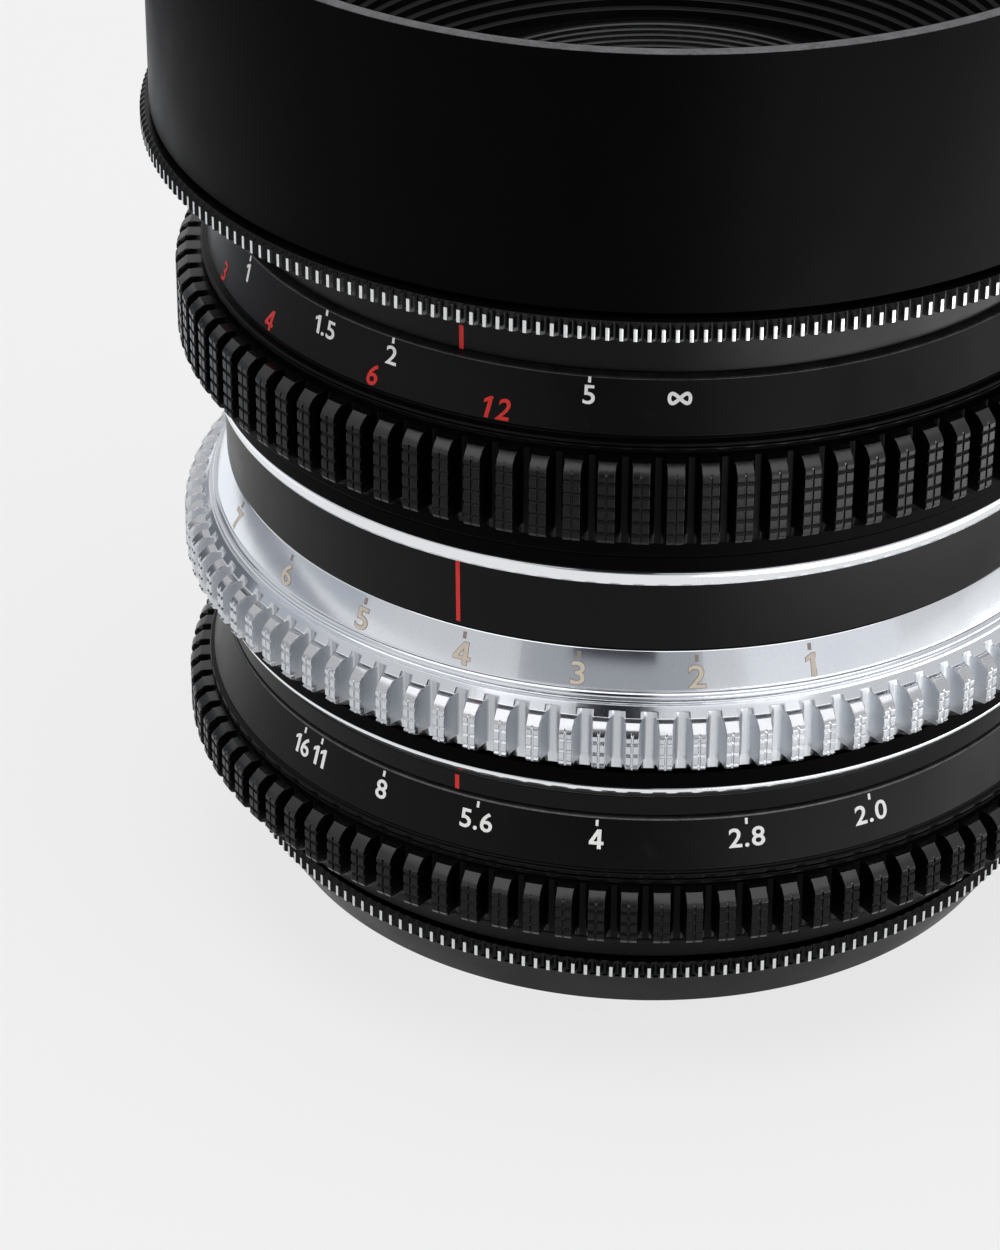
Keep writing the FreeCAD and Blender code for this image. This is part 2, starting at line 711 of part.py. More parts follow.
def bokeh_gear_ring():
    tooth_bottom = bokeh_bottom + BOKEH_TOOTH_RISE
    ring = geared_ring(
        ring_bore(bokeh_bottom, bokeh_top), bokeh_top, BOKEH_SCALE_TOP_RADIUS, BOKEH_SCALE_TAPER,
        [(groove_floor, bokeh_bottom)], tooth_bottom, BOKEH_TOOTH_HEIGHT,
    )
    return ring.cut(ring_screws(bokeh_top))


def aperture_gear_ring():
    """The rear ring runs on the guide barrel by two lands, and its skirt hides the collar."""
    tooth_bottom = aperture_bottom + APERTURE_TOOTH_RISE
    relief = sleeve_radius + APERTURE_RELIEF
    collar_clear = REAR_KNURL_RADIUS - REAR_KNURL_WIDTH + SKIRT_CLEARANCE
    skirt_bottom = aperture_bottom - RING_GAP - SKIRT_CLEARANCE
    inner = [
        (sleeve_bore, aperture_top),
        (sleeve_bore, drive_height - APERTURE_LAND),
        (relief, drive_height - APERTURE_LAND),
        (relief, aperture_bottom + APERTURE_LAND),
        (sleeve_bore, aperture_bottom + APERTURE_LAND),
        (sleeve_bore, aperture_bottom),
        (collar_clear, aperture_bottom),
        (collar_clear, skirt_bottom),
    ]
    skirt = [(REAR_KNURL_RADIUS, skirt_bottom), (groove_floor, tooth_bottom - GROOVE_RUNOUT)]
    ring = geared_ring(
        inner, aperture_top, APERTURE_SCALE_TOP_RADIUS, APERTURE_SCALE_TAPER,
        skirt, tooth_bottom, APERTURE_TOOTH_HEIGHT,
    )
    return ring.cut(aperture_drive_pin())


def aperture_drive_pin():
    return radial_rod(DRIVE_PIN_DIAMETER, cell_slide_radius - DRIVE_PIN_HOLD, NECK_RADIUS, drive_height)


# Iris

def blade_pin_place(swing):
    """Centre of a blade's drive pin once the blade has swung in by an angle."""
    pivot = polar(BLADE_PIN_RADIUS, 0)
    arm = polar(BLADE_PIN_RADIUS, BLADE_PIN_ANGLE) - pivot
    turned_arm = FreeCAD.Rotation(Vector(0, 0, 1), swing).multVec(arm)
    return pivot + turned_arm


def rotor_slot():
    """The curved slot that a drive pin follows, seen from the turning rotor."""
    steps = 8
    centres = []
    for number in range(steps + 1):
        ring_turn = -APERTURE_TURN_OPEN + number * aperture_sweep / steps
        swing = blade_ratio * (ring_turn + APERTURE_TURN_OPEN)
        centres.append(FreeCAD.Rotation(Vector(0, 0, 1), -ring_turn).multVec(blade_pin_place(swing)))
    half = BLADE_PIN_DIAMETER / 2 + RUNNING_FIT
    sides = {1: [], -1: []}
    for number, centre in enumerate(centres):
        ahead = centres[min(number + 1, steps)] - centres[max(number - 1, 0)]
        normal = Vector(-ahead.y, ahead.x, 0).normalize()
        for side in sides:
            sides[side].append(centre + normal * (side * half))
    first_tip = centres[0] + (centres[0] - centres[1]).normalize() * half
    last_tip = centres[-1] + (centres[-1] - centres[-2]).normalize() * half
    left = Part.BSplineCurve()
    left.interpolate(sides[1])
    right = Part.BSplineCurve()
    right.interpolate(sides[-1])
    edges = [
        left.toShape(),
        Part.Arc(sides[1][-1], last_tip, sides[-1][-1]).toShape(),
        right.toShape(),
        Part.Arc(sides[-1][0], first_tip, sides[1][0]).toShape(),
    ]
    face = Part.Face(Part.Wire(Part.__sortEdges__(edges)))
    slot = face.extrude(Vector(0, 0, ROTOR_HEIGHT + 2))
    slot.translate(Vector(0, 0, rotor_bottom - 1))
    return slot


def iris_rotor():
    body = tube(cell_slide_radius, ROTOR_BORE_RADIUS, rotor_bottom, rotor_top)
    return body.cut(around(rotor_slot(), BLADES) + [aperture_drive_pin()])


def iris_housing():
    """A shallow cup: its floor holds the blades' pivots and its wall carries the rotor."""
    floor_bottom = iris_floor_top - IRIS_FLOOR
    wall_bore = GUIDE_BORE_RADIUS - IRIS_WALL
    body = turned([
        (IRIS_OPEN_RADIUS, floor_bottom),
        (GUIDE_BORE_RADIUS, floor_bottom),
        (GUIDE_BORE_RADIUS, rotor_bottom - RUNNING_FIT),
        (wall_bore, rotor_bottom - RUNNING_FIT),
        (wall_bore, iris_floor_top),
        (IRIS_OPEN_RADIUS, iris_floor_top),
    ])
    hole_diameter = BLADE_PIN_DIAMETER + 2 * RUNNING_FIT
    hole_bottom = floor_bottom + IRIS_PIVOT_FLOOR
    hole = upright_rod(hole_diameter, hole_bottom, iris_floor_top + 1, BLADE_PIN_RADIUS)
    return body.cut(around(hole, BLADES))


def iris_cover():
    bottom = rotor_top + RUNNING_FIT
    return tube(GUIDE_BORE_RADIUS, GUIDE_BORE_RADIUS - IRIS_COVER_WIDTH, bottom, bottom + IRIS_COVER_HEIGHT)


def iris_blade(number):
    """A thin crescent with an ear for its pivot pin below and its drive pin above."""
    bottom = iris_floor_top + BLADE_PITCH / 2 + number * BLADE_PITCH
    middle_radius = (BLADE_INNER_RADIUS + BLADE_OUTER_RADIUS) / 2
    tip_width = (BLADE_OUTER_RADIUS - BLADE_INNER_RADIUS) / 2
    start = -BLADE_EAR_MARGIN
    crescent = sector(BLADE_INNER_RADIUS, BLADE_OUTER_RADIUS, start, BLADE_SPAN, bottom, BLADE_THICKNESS)
    ear = sector(middle_radius, BLADE_EAR_RADIUS, start, BLADE_EAR_SPAN, bottom, BLADE_THICKNESS)
    tip = upright_rod(2 * tip_width, bottom, bottom + BLADE_THICKNESS, middle_radius, BLADE_SPAN)
    pivot_pin = upright_rod(BLADE_PIN_DIAMETER, iris_floor_top - IRIS_FLOOR / 2, bottom, BLADE_PIN_RADIUS)
    drive_pin_top = rotor_top - BLADE_PIN_SINK
    drive_pin = upright_rod(BLADE_PIN_DIAMETER, bottom, drive_pin_top, BLADE_PIN_RADIUS, BLADE_PIN_ANGLE)
    blade = crescent.fuse([ear, tip, pivot_pin, drive_pin]).removeSplitter()
    pivot = polar(BLADE_PIN_RADIUS, 0)
    swung = turn(blade, blade_ratio * APERTURE_TURN_OPEN, (pivot.x, pivot.y))
    return turn(swung, number * 360.0 / BLADES)


# Sliding cells and glass

def follower(height, angle):
    """A pin screwed into a cell's skirt that reaches through the guide slot into the sleeve."""
    inner = cell_slide_radius - FOLLOWER_HOLD
    return radial_rod(FOLLOWER_DIAMETER, inner, sleeve_radius - FOLLOWER_SINK, height, angle)


def followers(height, angle):
    return [follower(height, angle + number * 360 / FOLLOWERS) for number in range(FOLLOWERS)]


front_vertex = focus_top + FRONT_GLASS_RISE
front_glass_rim = front_rim(FRONT_CROWN, front_vertex)
flint_vertex = front_vertex - FRONT_CROWN[1]
front_glass_seat = rear_seat(FRONT_FLINT, flint_vertex, FRONT_FLINT[0] - LEDGE_WIDTH)
focus_cell_top = focus_top - FOCUS_CELL_DROP
focus_cell_bottom = focus_cell_top - FOCUS_CELL_LENGTH

bokeh_cell_bottom = bokeh_bottom - BOKEH_CELL_DROP
bokeh_cell_top = bokeh_cell_bottom + BOKEH_CELL_LENGTH
bokeh_vertex = bokeh_cell_top - BOKEH_GLASS_DROP
bokeh_spacer_bore = BOKEH_REAR_GLASS[0] - RETAINER_WIDTH
bokeh_spacer_top = rear_seat(BOKEH_FRONT_GLASS, bokeh_vertex, bokeh_spacer_bore)
bokeh_spacer_bottom = bokeh_spacer_top - BOKEH_SPACER
bokeh_second_vertex = bokeh_spacer_bottom + sag(BOKEH_REAR_GLASS[2], BOKEH_REAR_GLASS[0])
bokeh_glass_seat = rear_seat(BOKEH_REAR_GLASS, bokeh_second_vertex, BOKEH_REAR_GLASS[0] - LEDGE_WIDTH)

rear_cell_top = iris_floor_top - IRIS_FLOOR
rear_vertex = rear_cell_top - REAR_GLASS_DROP
rear_glass_seat = front_seat(REAR_CROWN, rear_vertex, REAR_CROWN[0] - LEDGE_WIDTH)
rear_spacer_bore = REAR_CROWN[0] - RETAINER_WIDTH
rear_spacer_top = rear_seat(REAR_CROWN, rear_vertex, rear_spacer_bore)
rear_spacer_bottom = rear_spacer_top - REAR_SPACER
rear_second_vertex = rear_spacer_bottom + sag(REAR_FLINT[2], REAR_FLINT[0])
rear_glass_end = rear_seat(REAR_FLINT, rear_second_vertex, rear_spacer_bore)


def front_cell():
    """The focusing cell: a skirt that slides in the guide barrel, a web and a nose."""
    bore = FRONT_CROWN[0]
    hub = bore + CELL_WALL
    skirt = cell_slide_radius - SKIRT_WALL
    web_bottom = focus_cell_top - CELL_WEB
    nose_top = focus_top + FRONT_NOSE_RISE
    body = turned([
        (bore - LEDGE_WIDTH, focus_cell_bottom),
        (hub, focus_cell_bottom),
        (hub, web_bottom),
        (skirt, web_bottom),
        (skirt, focus_cell_bottom),
        (cell_slide_radius, focus_cell_bottom),
        (cell_slide_radius, focus_cell_top),
        (FRONT_NOSE_RADIUS, focus_cell_top),
        (FRONT_NOSE_RADIUS, nose_top),
        (FRONT_NOSE_RADIUS - NOSE_WALL, nose_top),
        (FRONT_NOSE_RADIUS - NOSE_WALL, front_glass_rim),
        (bore, front_glass_rim),
        (bore, front_glass_seat),
        (bore - LEDGE_WIDTH, front_glass_seat),
    ])
    return body.cut(followers(focus_follower_height, FOCUS_FOLLOWER_ANGLE))


def front_retaining_ring():
    """The ring seen around the front glass, ridged down towards the glass."""
    outer = FRONT_NOSE_RADIUS - NOSE_WALL
    top = focus_top + FRONT_NOSE_RISE
    seat = front_seat(FRONT_CROWN, front_vertex, FRONT_RING_BORE) + SEAT_GAP
    lip = outer - FRONT_RING_LIP
    drop = (top - seat - RETAINER_WIDTH / 2) / FRONT_RING_RIDGES
    width = (lip - FRONT_RING_BORE) / FRONT_RING_RIDGES
    ridges = []
    for number in range(FRONT_RING_RIDGES):
        ridges.append((lip - number * width, top - number * drop))
        ridges.append((lip - number * width, top - (number + 1) * drop))
    return turned([(FRONT_RING_BORE, seat), (outer, seat), (outer, top)] + ridges
                  + [(FRONT_RING_BORE, top - FRONT_RING_RIDGES * drop)])


def bokeh_cell():
    bore = BOKEH_FRONT_GLASS[0]
    hub = bore + CELL_WALL
    skirt = cell_slide_radius - SKIRT_WALL
    web_bottom = bokeh_cell_top - CELL_WEB
    body = turned([
        (bore - LEDGE_WIDTH, bokeh_cell_bottom),
        (hub, bokeh_cell_bottom),
        (hub, web_bottom),
        (skirt, web_bottom),
        (skirt, bokeh_cell_bottom),
        (cell_slide_radius, bokeh_cell_bottom),
        (cell_slide_radius, bokeh_cell_top),
        (bore, bokeh_cell_top),
        (bore, bokeh_glass_seat),
        (bore - LEDGE_WIDTH, bokeh_glass_seat),
    ])
    return body.cut(followers(bokeh_follower_height, BOKEH_FOLLOWER_ANGLE))


def bokeh_retaining_ring():
    seat = front_seat(BOKEH_FRONT_GLASS, bokeh_vertex, bokeh_spacer_bore) + SEAT_GAP
    return tube(BOKEH_FRONT_GLASS[0], bokeh_spacer_bore, seat, bokeh_cell_top - RETAINER_SINK)


def rear_cell():
    """The fixed rear cell hangs from a flange under the iris housing."""
    bore = REAR_CROWN[0]
    hub = bore + CELL_WALL
    flange_bottom = rear_cell_top - CELL_WEB
    bottom = rear_glass_end - RETAINER_WIDTH
    return turned([
        (bore, bottom),
        (hub, bottom),
        (hub, flange_bottom),
        (GUIDE_BORE_RADIUS, flange_bottom),
        (GUIDE_BORE_RADIUS, rear_cell_top),
        (bore - LEDGE_WIDTH, rear_cell_top),
        (bore - LEDGE_WIDTH, rear_glass_seat),
        (bore, rear_glass_seat),
    ])


def rear_retaining_ring():
    return tube(REAR_FLINT[0], rear_spacer_bore, rear_glass_end - RETAINER_WIDTH, rear_glass_end - SEAT_GAP)


def pieces():
    """Every node of the lens, by name."""
    nodes = {
        "front_shell": front_shell(),
        "front_knurled_ring": knurled_ring(
            front_knurl_radius, shell_seat_radius, front_band_top, front_knurl_top, FRONT_KNURLS
        ),
        "front_barrel": front_barrel(),
        "ridged_baffle": ridged_baffle(),
        "guide_barrel": guide_barrel(),
        "middle_barrel": middle_barrel(),
        "upper_bright_ring": bright_ring(MIDDLE_BAND_RADIUS, middle_top, upper_bright_top),
        "upper_collar": collar(MIDDLE_BAND_RADIUS, upper_bright_top, upper_collar_top),
        "rear_index_ring": rear_index_ring(),
        "lower_bright_ring": bright_ring(REAR_BAND_RADIUS, rear_band_top, lower_bright_top),
        "lower_collar": collar(REAR_BAND_RADIUS, lower_bright_top, lower_collar_top),
        "rear_knurled_ring": knurled_ring(
            REAR_KNURL_RADIUS, REAR_KNURL_RADIUS - REAR_KNURL_WIDTH, knurl_bottom, knurl_top, REAR_KNURLS
        ),
        "rear_barrel": rear_barrel(),
        "bayonet_mount": bayonet_mount(),
        "mount_screws": Part.makeCompound(mount_screws()),
        "rear_light_frame": rear_light_frame(),
        "front_barrel_screws": Part.makeCompound(around(front_barrel_screw(), BARREL_SCREWS)),
        "middle_barrel_screws": Part.makeCompound(around(middle_barrel_screw(), BARREL_SCREWS)),
        "rear_ring_screws": Part.makeCompound(around(rear_barrel_screw(), BARREL_SCREWS)),
        "rear_cell": rear_cell(),
        "rear_crown_lens": glass(REAR_CROWN, rear_vertex),
        "rear_flint_lens": glass(REAR_FLINT, rear_second_vertex),
        "rear_spacer": tube(REAR_CROWN[0], rear_spacer_bore, rear_spacer_bottom, rear_spacer_top),
        "rear_retaining_ring": rear_retaining_ring(),
        "focus_gear_ring": focus_gear_ring(),
        "focus_cam_sleeve": sleeve(
            focus_bottom, focus_top, focus_follower_height, focus_rate,
            FOCUS_TURN_TO_FAR, FOCUS_TURN_TO_NEAR, FOCUS_FOLLOWER_ANGLE,
        ),
        "focus_ring_screws": Part.makeCompound(ring_screws(focus_top)),
        "front_cell": front_cell(),
        "front_cam_followers": Part.makeCompound(followers(focus_follower_height, FOCUS_FOLLOWER_ANGLE)),
        "front_crown_lens": glass(FRONT_CROWN, front_vertex),
        "front_flint_lens": glass(FRONT_FLINT, flint_vertex),
        "front_retaining_ring": front_retaining_ring(),
        "bokeh_gear_ring": bokeh_gear_ring(),
        "bokeh_cam_sleeve": sleeve(
            bokeh_bottom, bokeh_top, bokeh_follower_height, bokeh_rate,
            BOKEH_TURN, BOKEH_TURN, BOKEH_FOLLOWER_ANGLE,
        ),
        "bokeh_ring_screws": Part.makeCompound(ring_screws(bokeh_top)),
        "bokeh_cell": bokeh_cell(),
        "bokeh_cam_followers": Part.makeCompound(followers(bokeh_follower_height, BOKEH_FOLLOWER_ANGLE)),
        "bokeh_front_lens": glass(BOKEH_FRONT_GLASS, bokeh_vertex),
        "bokeh_spacer": tube(BOKEH_REAR_GLASS[0], bokeh_spacer_bore, bokeh_spacer_bottom, bokeh_spacer_top),
        "bokeh_rear_lens": glass(BOKEH_REAR_GLASS, bokeh_second_vertex),
        "bokeh_retaining_ring": bokeh_retaining_ring(),
        "aperture_gear_ring": aperture_gear_ring(),
        "aperture_drive_pin": aperture_drive_pin(),
        "iris_rotor": iris_rotor(),
        "iris_housing": iris_housing(),
        "iris_cover": iris_cover(),
    }
    for number in range(BLADES):
        nodes[f"iris_blade_{number + 1}"] = iris_blade(number)
    return nodes


def main():
    os.makedirs("parts", exist_ok=True)
    for name, shape in pieces().items():
        shape.exportStep(f"parts/{name}.step")


if __name__ == "__main__":
    main()
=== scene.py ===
import json
import math
from collections import namedtuple

import bpy
import numpy as np
from mathutils import Matrix, Vector


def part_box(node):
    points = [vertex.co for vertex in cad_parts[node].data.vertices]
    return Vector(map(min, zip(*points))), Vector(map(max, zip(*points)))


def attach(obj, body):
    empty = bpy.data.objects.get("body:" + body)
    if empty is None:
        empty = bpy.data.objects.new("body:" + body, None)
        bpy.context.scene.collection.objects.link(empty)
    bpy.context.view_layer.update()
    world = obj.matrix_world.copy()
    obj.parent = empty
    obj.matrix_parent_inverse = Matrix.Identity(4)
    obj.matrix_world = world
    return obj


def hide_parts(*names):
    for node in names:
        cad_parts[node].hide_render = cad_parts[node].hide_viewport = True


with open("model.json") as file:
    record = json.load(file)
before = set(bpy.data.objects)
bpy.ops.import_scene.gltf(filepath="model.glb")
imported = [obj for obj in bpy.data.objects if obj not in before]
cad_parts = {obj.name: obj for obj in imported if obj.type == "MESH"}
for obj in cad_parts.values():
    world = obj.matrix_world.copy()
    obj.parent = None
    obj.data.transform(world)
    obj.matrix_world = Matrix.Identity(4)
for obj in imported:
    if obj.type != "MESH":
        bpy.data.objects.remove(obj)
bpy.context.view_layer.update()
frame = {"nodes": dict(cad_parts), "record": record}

MM = 0.001


def reach(node):
    """A node's outer radius and its lowest and highest points, in millimetres."""
    low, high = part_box(node)
    return tuple(round(value / MM, 2) for value in (high[0], low[2], high[2]))


# sizes from the frame

HOOD_RADIUS, HOOD_BOTTOM, HOOD_TOP = reach("front_shell")
FRONT_KNURL_RADIUS, FRONT_KNURL_BOTTOM, FRONT_KNURL_TOP = reach("front_knurled_ring")
SEAT_RADIUS, NECK_BOTTOM, SEAT_TOP = reach("front_barrel")
_, BAFFLE_BOTTOM, BAFFLE_TOP = reach("ridged_baffle")
NOSE_RADIUS, NOSE_BOTTOM, NOSE_TOP = reach("front_retaining_ring")
TIP_RADIUS, FOCUS_BOTTOM, _ = reach("focus_gear_ring")
_, MIDDLE_BOTTOM, MIDDLE_TOP = reach("middle_barrel")
_, BOKEH_BOTTOM, BOKEH_TOP = reach("bokeh_gear_ring")
REAR_INDEX_RADIUS, REAR_INDEX_BOTTOM, REAR_INDEX_TOP = reach("rear_index_ring")
_, APERTURE_BOTTOM, _ = reach("aperture_gear_ring")
REAR_KNURL_RADIUS, REAR_KNURL_BOTTOM, REAR_KNURL_TOP = reach("rear_knurled_ring")
_, REAR_BOTTOM, REAR_TOP = reach("rear_barrel")

# sizes of the finish

SMOOTH_COLUMNS = 564
EDGE = 0.07
FINE_EDGE = 0.03
BEVEL_EDGE = 0.04
ARC_SHARE = 0.35
STRAIGHT = -0.97
WELD_GRID = 1e7
INDEX = -90.35

RING_BORE = 32.0
RING_SEAT = 33.63
BARREL_BORE = 30.0
APERTURE_BORE = 30.05
COLLAR_BORE = 33.0

TEETH = 94
ROOT_RADIUS = 36.6
SHOULDER_RADIUS = 37.5
SHOULDER_DROP = 0.9
SHOULDER_KNEE_IN = 0.15
SHOULDER_KNEE_DROP = 0.5
SHOULDER_STEPS = 8
PAD_CHAMFER_IN = 0.2
PAD_CHAMFER_UP = 0.3
PAD_GROOVE_DEPTH = 0.18
PAD_GROOVE_BELOW = 0.19
PAD_GROOVE_ABOVE = 0.14
UPRIGHT_GROOVE_DEPTH = 0.13
UPRIGHT_GROOVE_HALF = 0.1
UPRIGHT_GROOVE_SIDE = 0.03
GUARD = 0.015
FLANK_SHARES = (0.16, 0.4, 0.7)
PLAIN_STRIDE = 4
TOUCH = 0.02

NECK_BAND = [(34.15, NECK_BOTTOM), (34.25, FRONT_KNURL_BOTTOM)]
UPPER_BEVEL_BOTTOM = 41.0
MIDDLE_BAND = [(34.75, MIDDLE_BOTTOM), (34.86, UPPER_BEVEL_BOTTOM)]
LOWER_BEVEL_BOTTOM = 21.95
REAR_BAND = [(REAR_INDEX_RADIUS, REAR_INDEX_BOTTOM), (REAR_INDEX_RADIUS, LOWER_BEVEL_BOTTOM)]
FOCUS_BAND = [(35.78, 54.16), (34.8, 58.33)]
BOKEH_BAND = [(35.7, 32.12), (35.49, 32.8), (35.22, 33.6), (34.94, 34.35), (34.7, 34.95)]
APERTURE_BAND = [(36.33, 16.08), (35.13, 19.9)]

# A gear's teeth stand between low and high. top_groove is the middle of their highest
# cross groove. land and space are half widths, across a tooth's face and up to the floor
# of the space beside it, and power shapes the flank between them. turn is the angle of
# the first tooth, and the ring is bare metal above edge.
Gear = namedtuple("Gear", "low high top_groove grooves spacing land space power turn edge")
FOCUS_GEAR = Gear(low=46.36, high=52.84, top_groove=51.44, grooves=5, spacing=1.05,
                  land=0.635, space=1.05, power=3.0, turn=2.04, edge=58.3)
BOKEH_GEAR = Gear(low=26.5, high=30.3, top_groove=28.9, grooves=3, spacing=0.98,
                  land=0.49, space=0.98, power=1.9, turn=1.66, edge=34.93)
APERTURE_GEAR = Gear(low=10.5, high=14.75, top_groove=13.4, grooves=3, spacing=0.98,
                     land=0.635, space=1.05, power=3.0, turn=1.72, edge=19.88)


# meshes


def counter_clockwise(points):
    """The outline, turned round if it runs clockwise."""
    area = sum(a[0] * b[1] - b[0] * a[1] for a, b in zip(points, points[1:] + points[:1]))
    return points if area > 0 else points[::-1]


def curve_point(start, knee, end, share):
    """The point at a share of the way along a curve that is drawn towards its knee."""
    return (1 - share) ** 2 * start + 2 * share * (1 - share) * knee + share**2 * end


def softened(points, edge):
    """The outline with each sharp corner turned into a small arc."""
    soft = []
    for before, corner, after in zip(points[-1:] + points[:-1], points, points[1:] + points[:1]):
        here = np.array(corner)
        back, ahead = np.array(before) - here, np.array(after) - here
        long_back, long_ahead = np.linalg.norm(back), np.linalg.norm(ahead)
        if np.dot(back, ahead) / (long_back * long_ahead) < STRAIGHT:
            soft.append(corner)
            continue
        cut = min(edge, ARC_SHARE * long_back, ARC_SHARE * long_ahead)
        start, end = here + back / long_back * cut, here + ahead / long_ahead * cut
        soft += [tuple(curve_point(start, here, end, share)) for share in (0.0, 0.5, 1.0)]
    return soft


def ring_mesh(name, radius, height, angle, slots=None):
    """A closed ring. Rows follow the outline, columns go round the axis, and doubles are welded."""
    grid = np.stack([radius * np.cos(angle), radius * np.sin(angle), height], axis=-1) * MM
    rows, columns, _ = grid.shape
    flat = grid.reshape(-1, 3)
    keys = np.round(flat * WELD_GRID).astype(np.int64)
    _, first, weld = np.unique(keys, axis=0, return_index=True, return_inverse=True)
    weld = weld.reshape(rows, columns)
    up = np.roll(weld, -1, axis=0)
    quads = np.stack([weld, np.roll(weld, -1, axis=1), np.roll(up, -1, axis=1), up], axis=-1).reshape(-1, 4)
    paint = np.zeros(len(quads), np.int32) if slots is None else slots.reshape(-1)
    corners = flat[first]
    area = np.cross(
        corners[quads[:, 2]] - corners[quads[:, 0]], corners[quads[:, 3]] - corners[quads[:, 1]]
    )
    normals = np.zeros_like(corners)
    for side in range(4):
        np.add.at(normals, quads[:, side], area)
    normals /= np.maximum(np.linalg.norm(normals, axis=1, keepdims=True), 1e-20)
    doubled = (quads == np.roll(quads, -1, axis=1)).any(axis=1)
    folded = (quads[:, 0] == quads[:, 2]) | (quads[:, 1] == quads[:, 3])
    faces = quads[~doubled & ~folded].tolist()
    paints = paint[~doubled & ~folded].tolist()
    for quad, colour in zip(quads[doubled & ~folded].tolist(), paint[doubled & ~folded].tolist()):
        distinct = [corner for corner, before in zip(quad, quad[-1:] + quad[:-1]) if corner != before]
        if len(distinct) == 3:
            faces.append(distinct)
            paints.append(colour)
    mesh = bpy.data.meshes.new(name)
    mesh.from_pydata(corners.tolist(), [], faces)
    mesh.polygons.foreach_set("material_index", paints)
    mesh.shade_smooth()
    mesh.normals_split_custom_set_from_vertices(normals.tolist())
    return linked(name, mesh)


def linked(name, data):
    """A new object in the scene."""
    piece = bpy.data.objects.new(name, data)
    bpy.context.scene.collection.objects.link(piece)
    return piece


def spread_out(outline, columns):
    """The outline's radii and heights, each repeated for every column."""
    return [np.repeat(np.array(values)[:, None], columns, axis=1) for values in zip(*outline)]


def lathe(name, outline, edge=EDGE, bend=None):
    """A turned solid from an outline of (radius, height) points."""
    angle = np.arange(SMOOTH_COLUMNS)[None, :] * 2 * math.pi / SMOOTH_COLUMNS
    radius, height = spread_out(softened(counter_clockwise(outline), edge), SMOOTH_COLUMNS)
    if bend is not None:
        radius = bend(radius, height, angle)
    return ring_mesh(name, radius, height, angle)


def toothed(name, outline, count, across, floor_of, paint_of, turn=0.0, stride=1):
    """A turned solid whose outside is cut by a repeated groove.

    across holds the columns of one pitch in millimetres at the tip, and floor_of gives
    the groove's radius there. paint_of picks the material of each face. Rows that no
    groove reaches keep one column in each stride, and the others weld to it.
    """
    outline = softened(counter_clockwise(outline), FINE_EDGE)
    tip = max(radius for radius, _ in outline)
    steps = np.tile(across, count)
    teeth = np.repeat(np.arange(count), len(across))
    angle = teeth * (2 * math.pi / count) + steps / tip + math.radians(turn)
    sparse_angle = np.repeat(angle[::stride], stride)
    outer, height = spread_out(outline, len(angle))
    radius = np.minimum(outer, floor_of(steps[None, :]))
    plain = (radius == outer).all(axis=1, keepdims=True)
    slots = paint_of(steps[None, :], radius, height, outer)
    return ring_mesh(name, radius, height, np.where(plain, sparse_angle, angle), slots)


# teeth


def pad_grooves(gear):
    """Points of the tooth's upright face, from the bottom up, with its cross grooves."""
    points = [(TIP_RADIUS - PAD_CHAMFER_IN, gear.low), (TIP_RADIUS, gear.low + PAD_CHAMFER_UP)]
    for number in reversed(range(gear.grooves)):
        middle = gear.top_groove - number * gear.spacing
        points += [
            (TIP_RADIUS, middle - PAD_GROOVE_BELOW),
            (TIP_RADIUS - PAD_GROOVE_DEPTH, middle),
            (TIP_RADIUS, middle + PAD_GROOVE_ABOVE),
        ]
    return points


def tooth_shoulder(top):
    """The slightly rounded slope from the tooth's face to its top."""
    start = np.array((TIP_RADIUS, top - SHOULDER_DROP))
    knee = np.array((TIP_RADIUS - SHOULDER_KNEE_IN, top - SHOULDER_KNEE_DROP))
    end = np.array((SHOULDER_RADIUS, top))
    steps = range(SHOULDER_STEPS + 1)
    return [tuple(curve_point(start, knee, end, step / SHOULDER_STEPS)) for step in steps]


def gear_columns(gear):
    """Places across one tooth, in millimetres from its middle.

    Columns close beside an edge keep the faces next to it shaded flat.
    """
    half = math.pi * TIP_RADIUS / TEETH
    groove = UPRIGHT_GROOVE_HALF
    right = [0.03, groove - UPRIGHT_GROOVE_SIDE, groove, groove + GUARD]
    right += [gear.land - 0.04, gear.land - 0.002, gear.land + 0.012]
    right += [gear.land + (gear.space - gear.land) * share for share in FLANK_SHARES]
    right += [gear.space, (gear.space + half) / 2]
    return np.array([-x for x in reversed(right)] + right)


def gear_floor(gear):
    """The radius that the tooth spaces and the upright pad groove leave."""

    def radius(across):
        side = np.abs(across)
        climb = np.clip((gear.space - side) / (gear.space - gear.land), 0, 1) ** gear.power
        space = ROOT_RADIUS + (TIP_RADIUS - ROOT_RADIUS) * climb
        depth = np.clip((UPRIGHT_GROOVE_HALF - side) / UPRIGHT_GROOVE_SIDE, 0, 1)
        groove = TIP_RADIUS - UPRIGHT_GROOVE_DEPTH * depth
        return np.where(side < gear.land, groove + 0.001, space)

    return radius


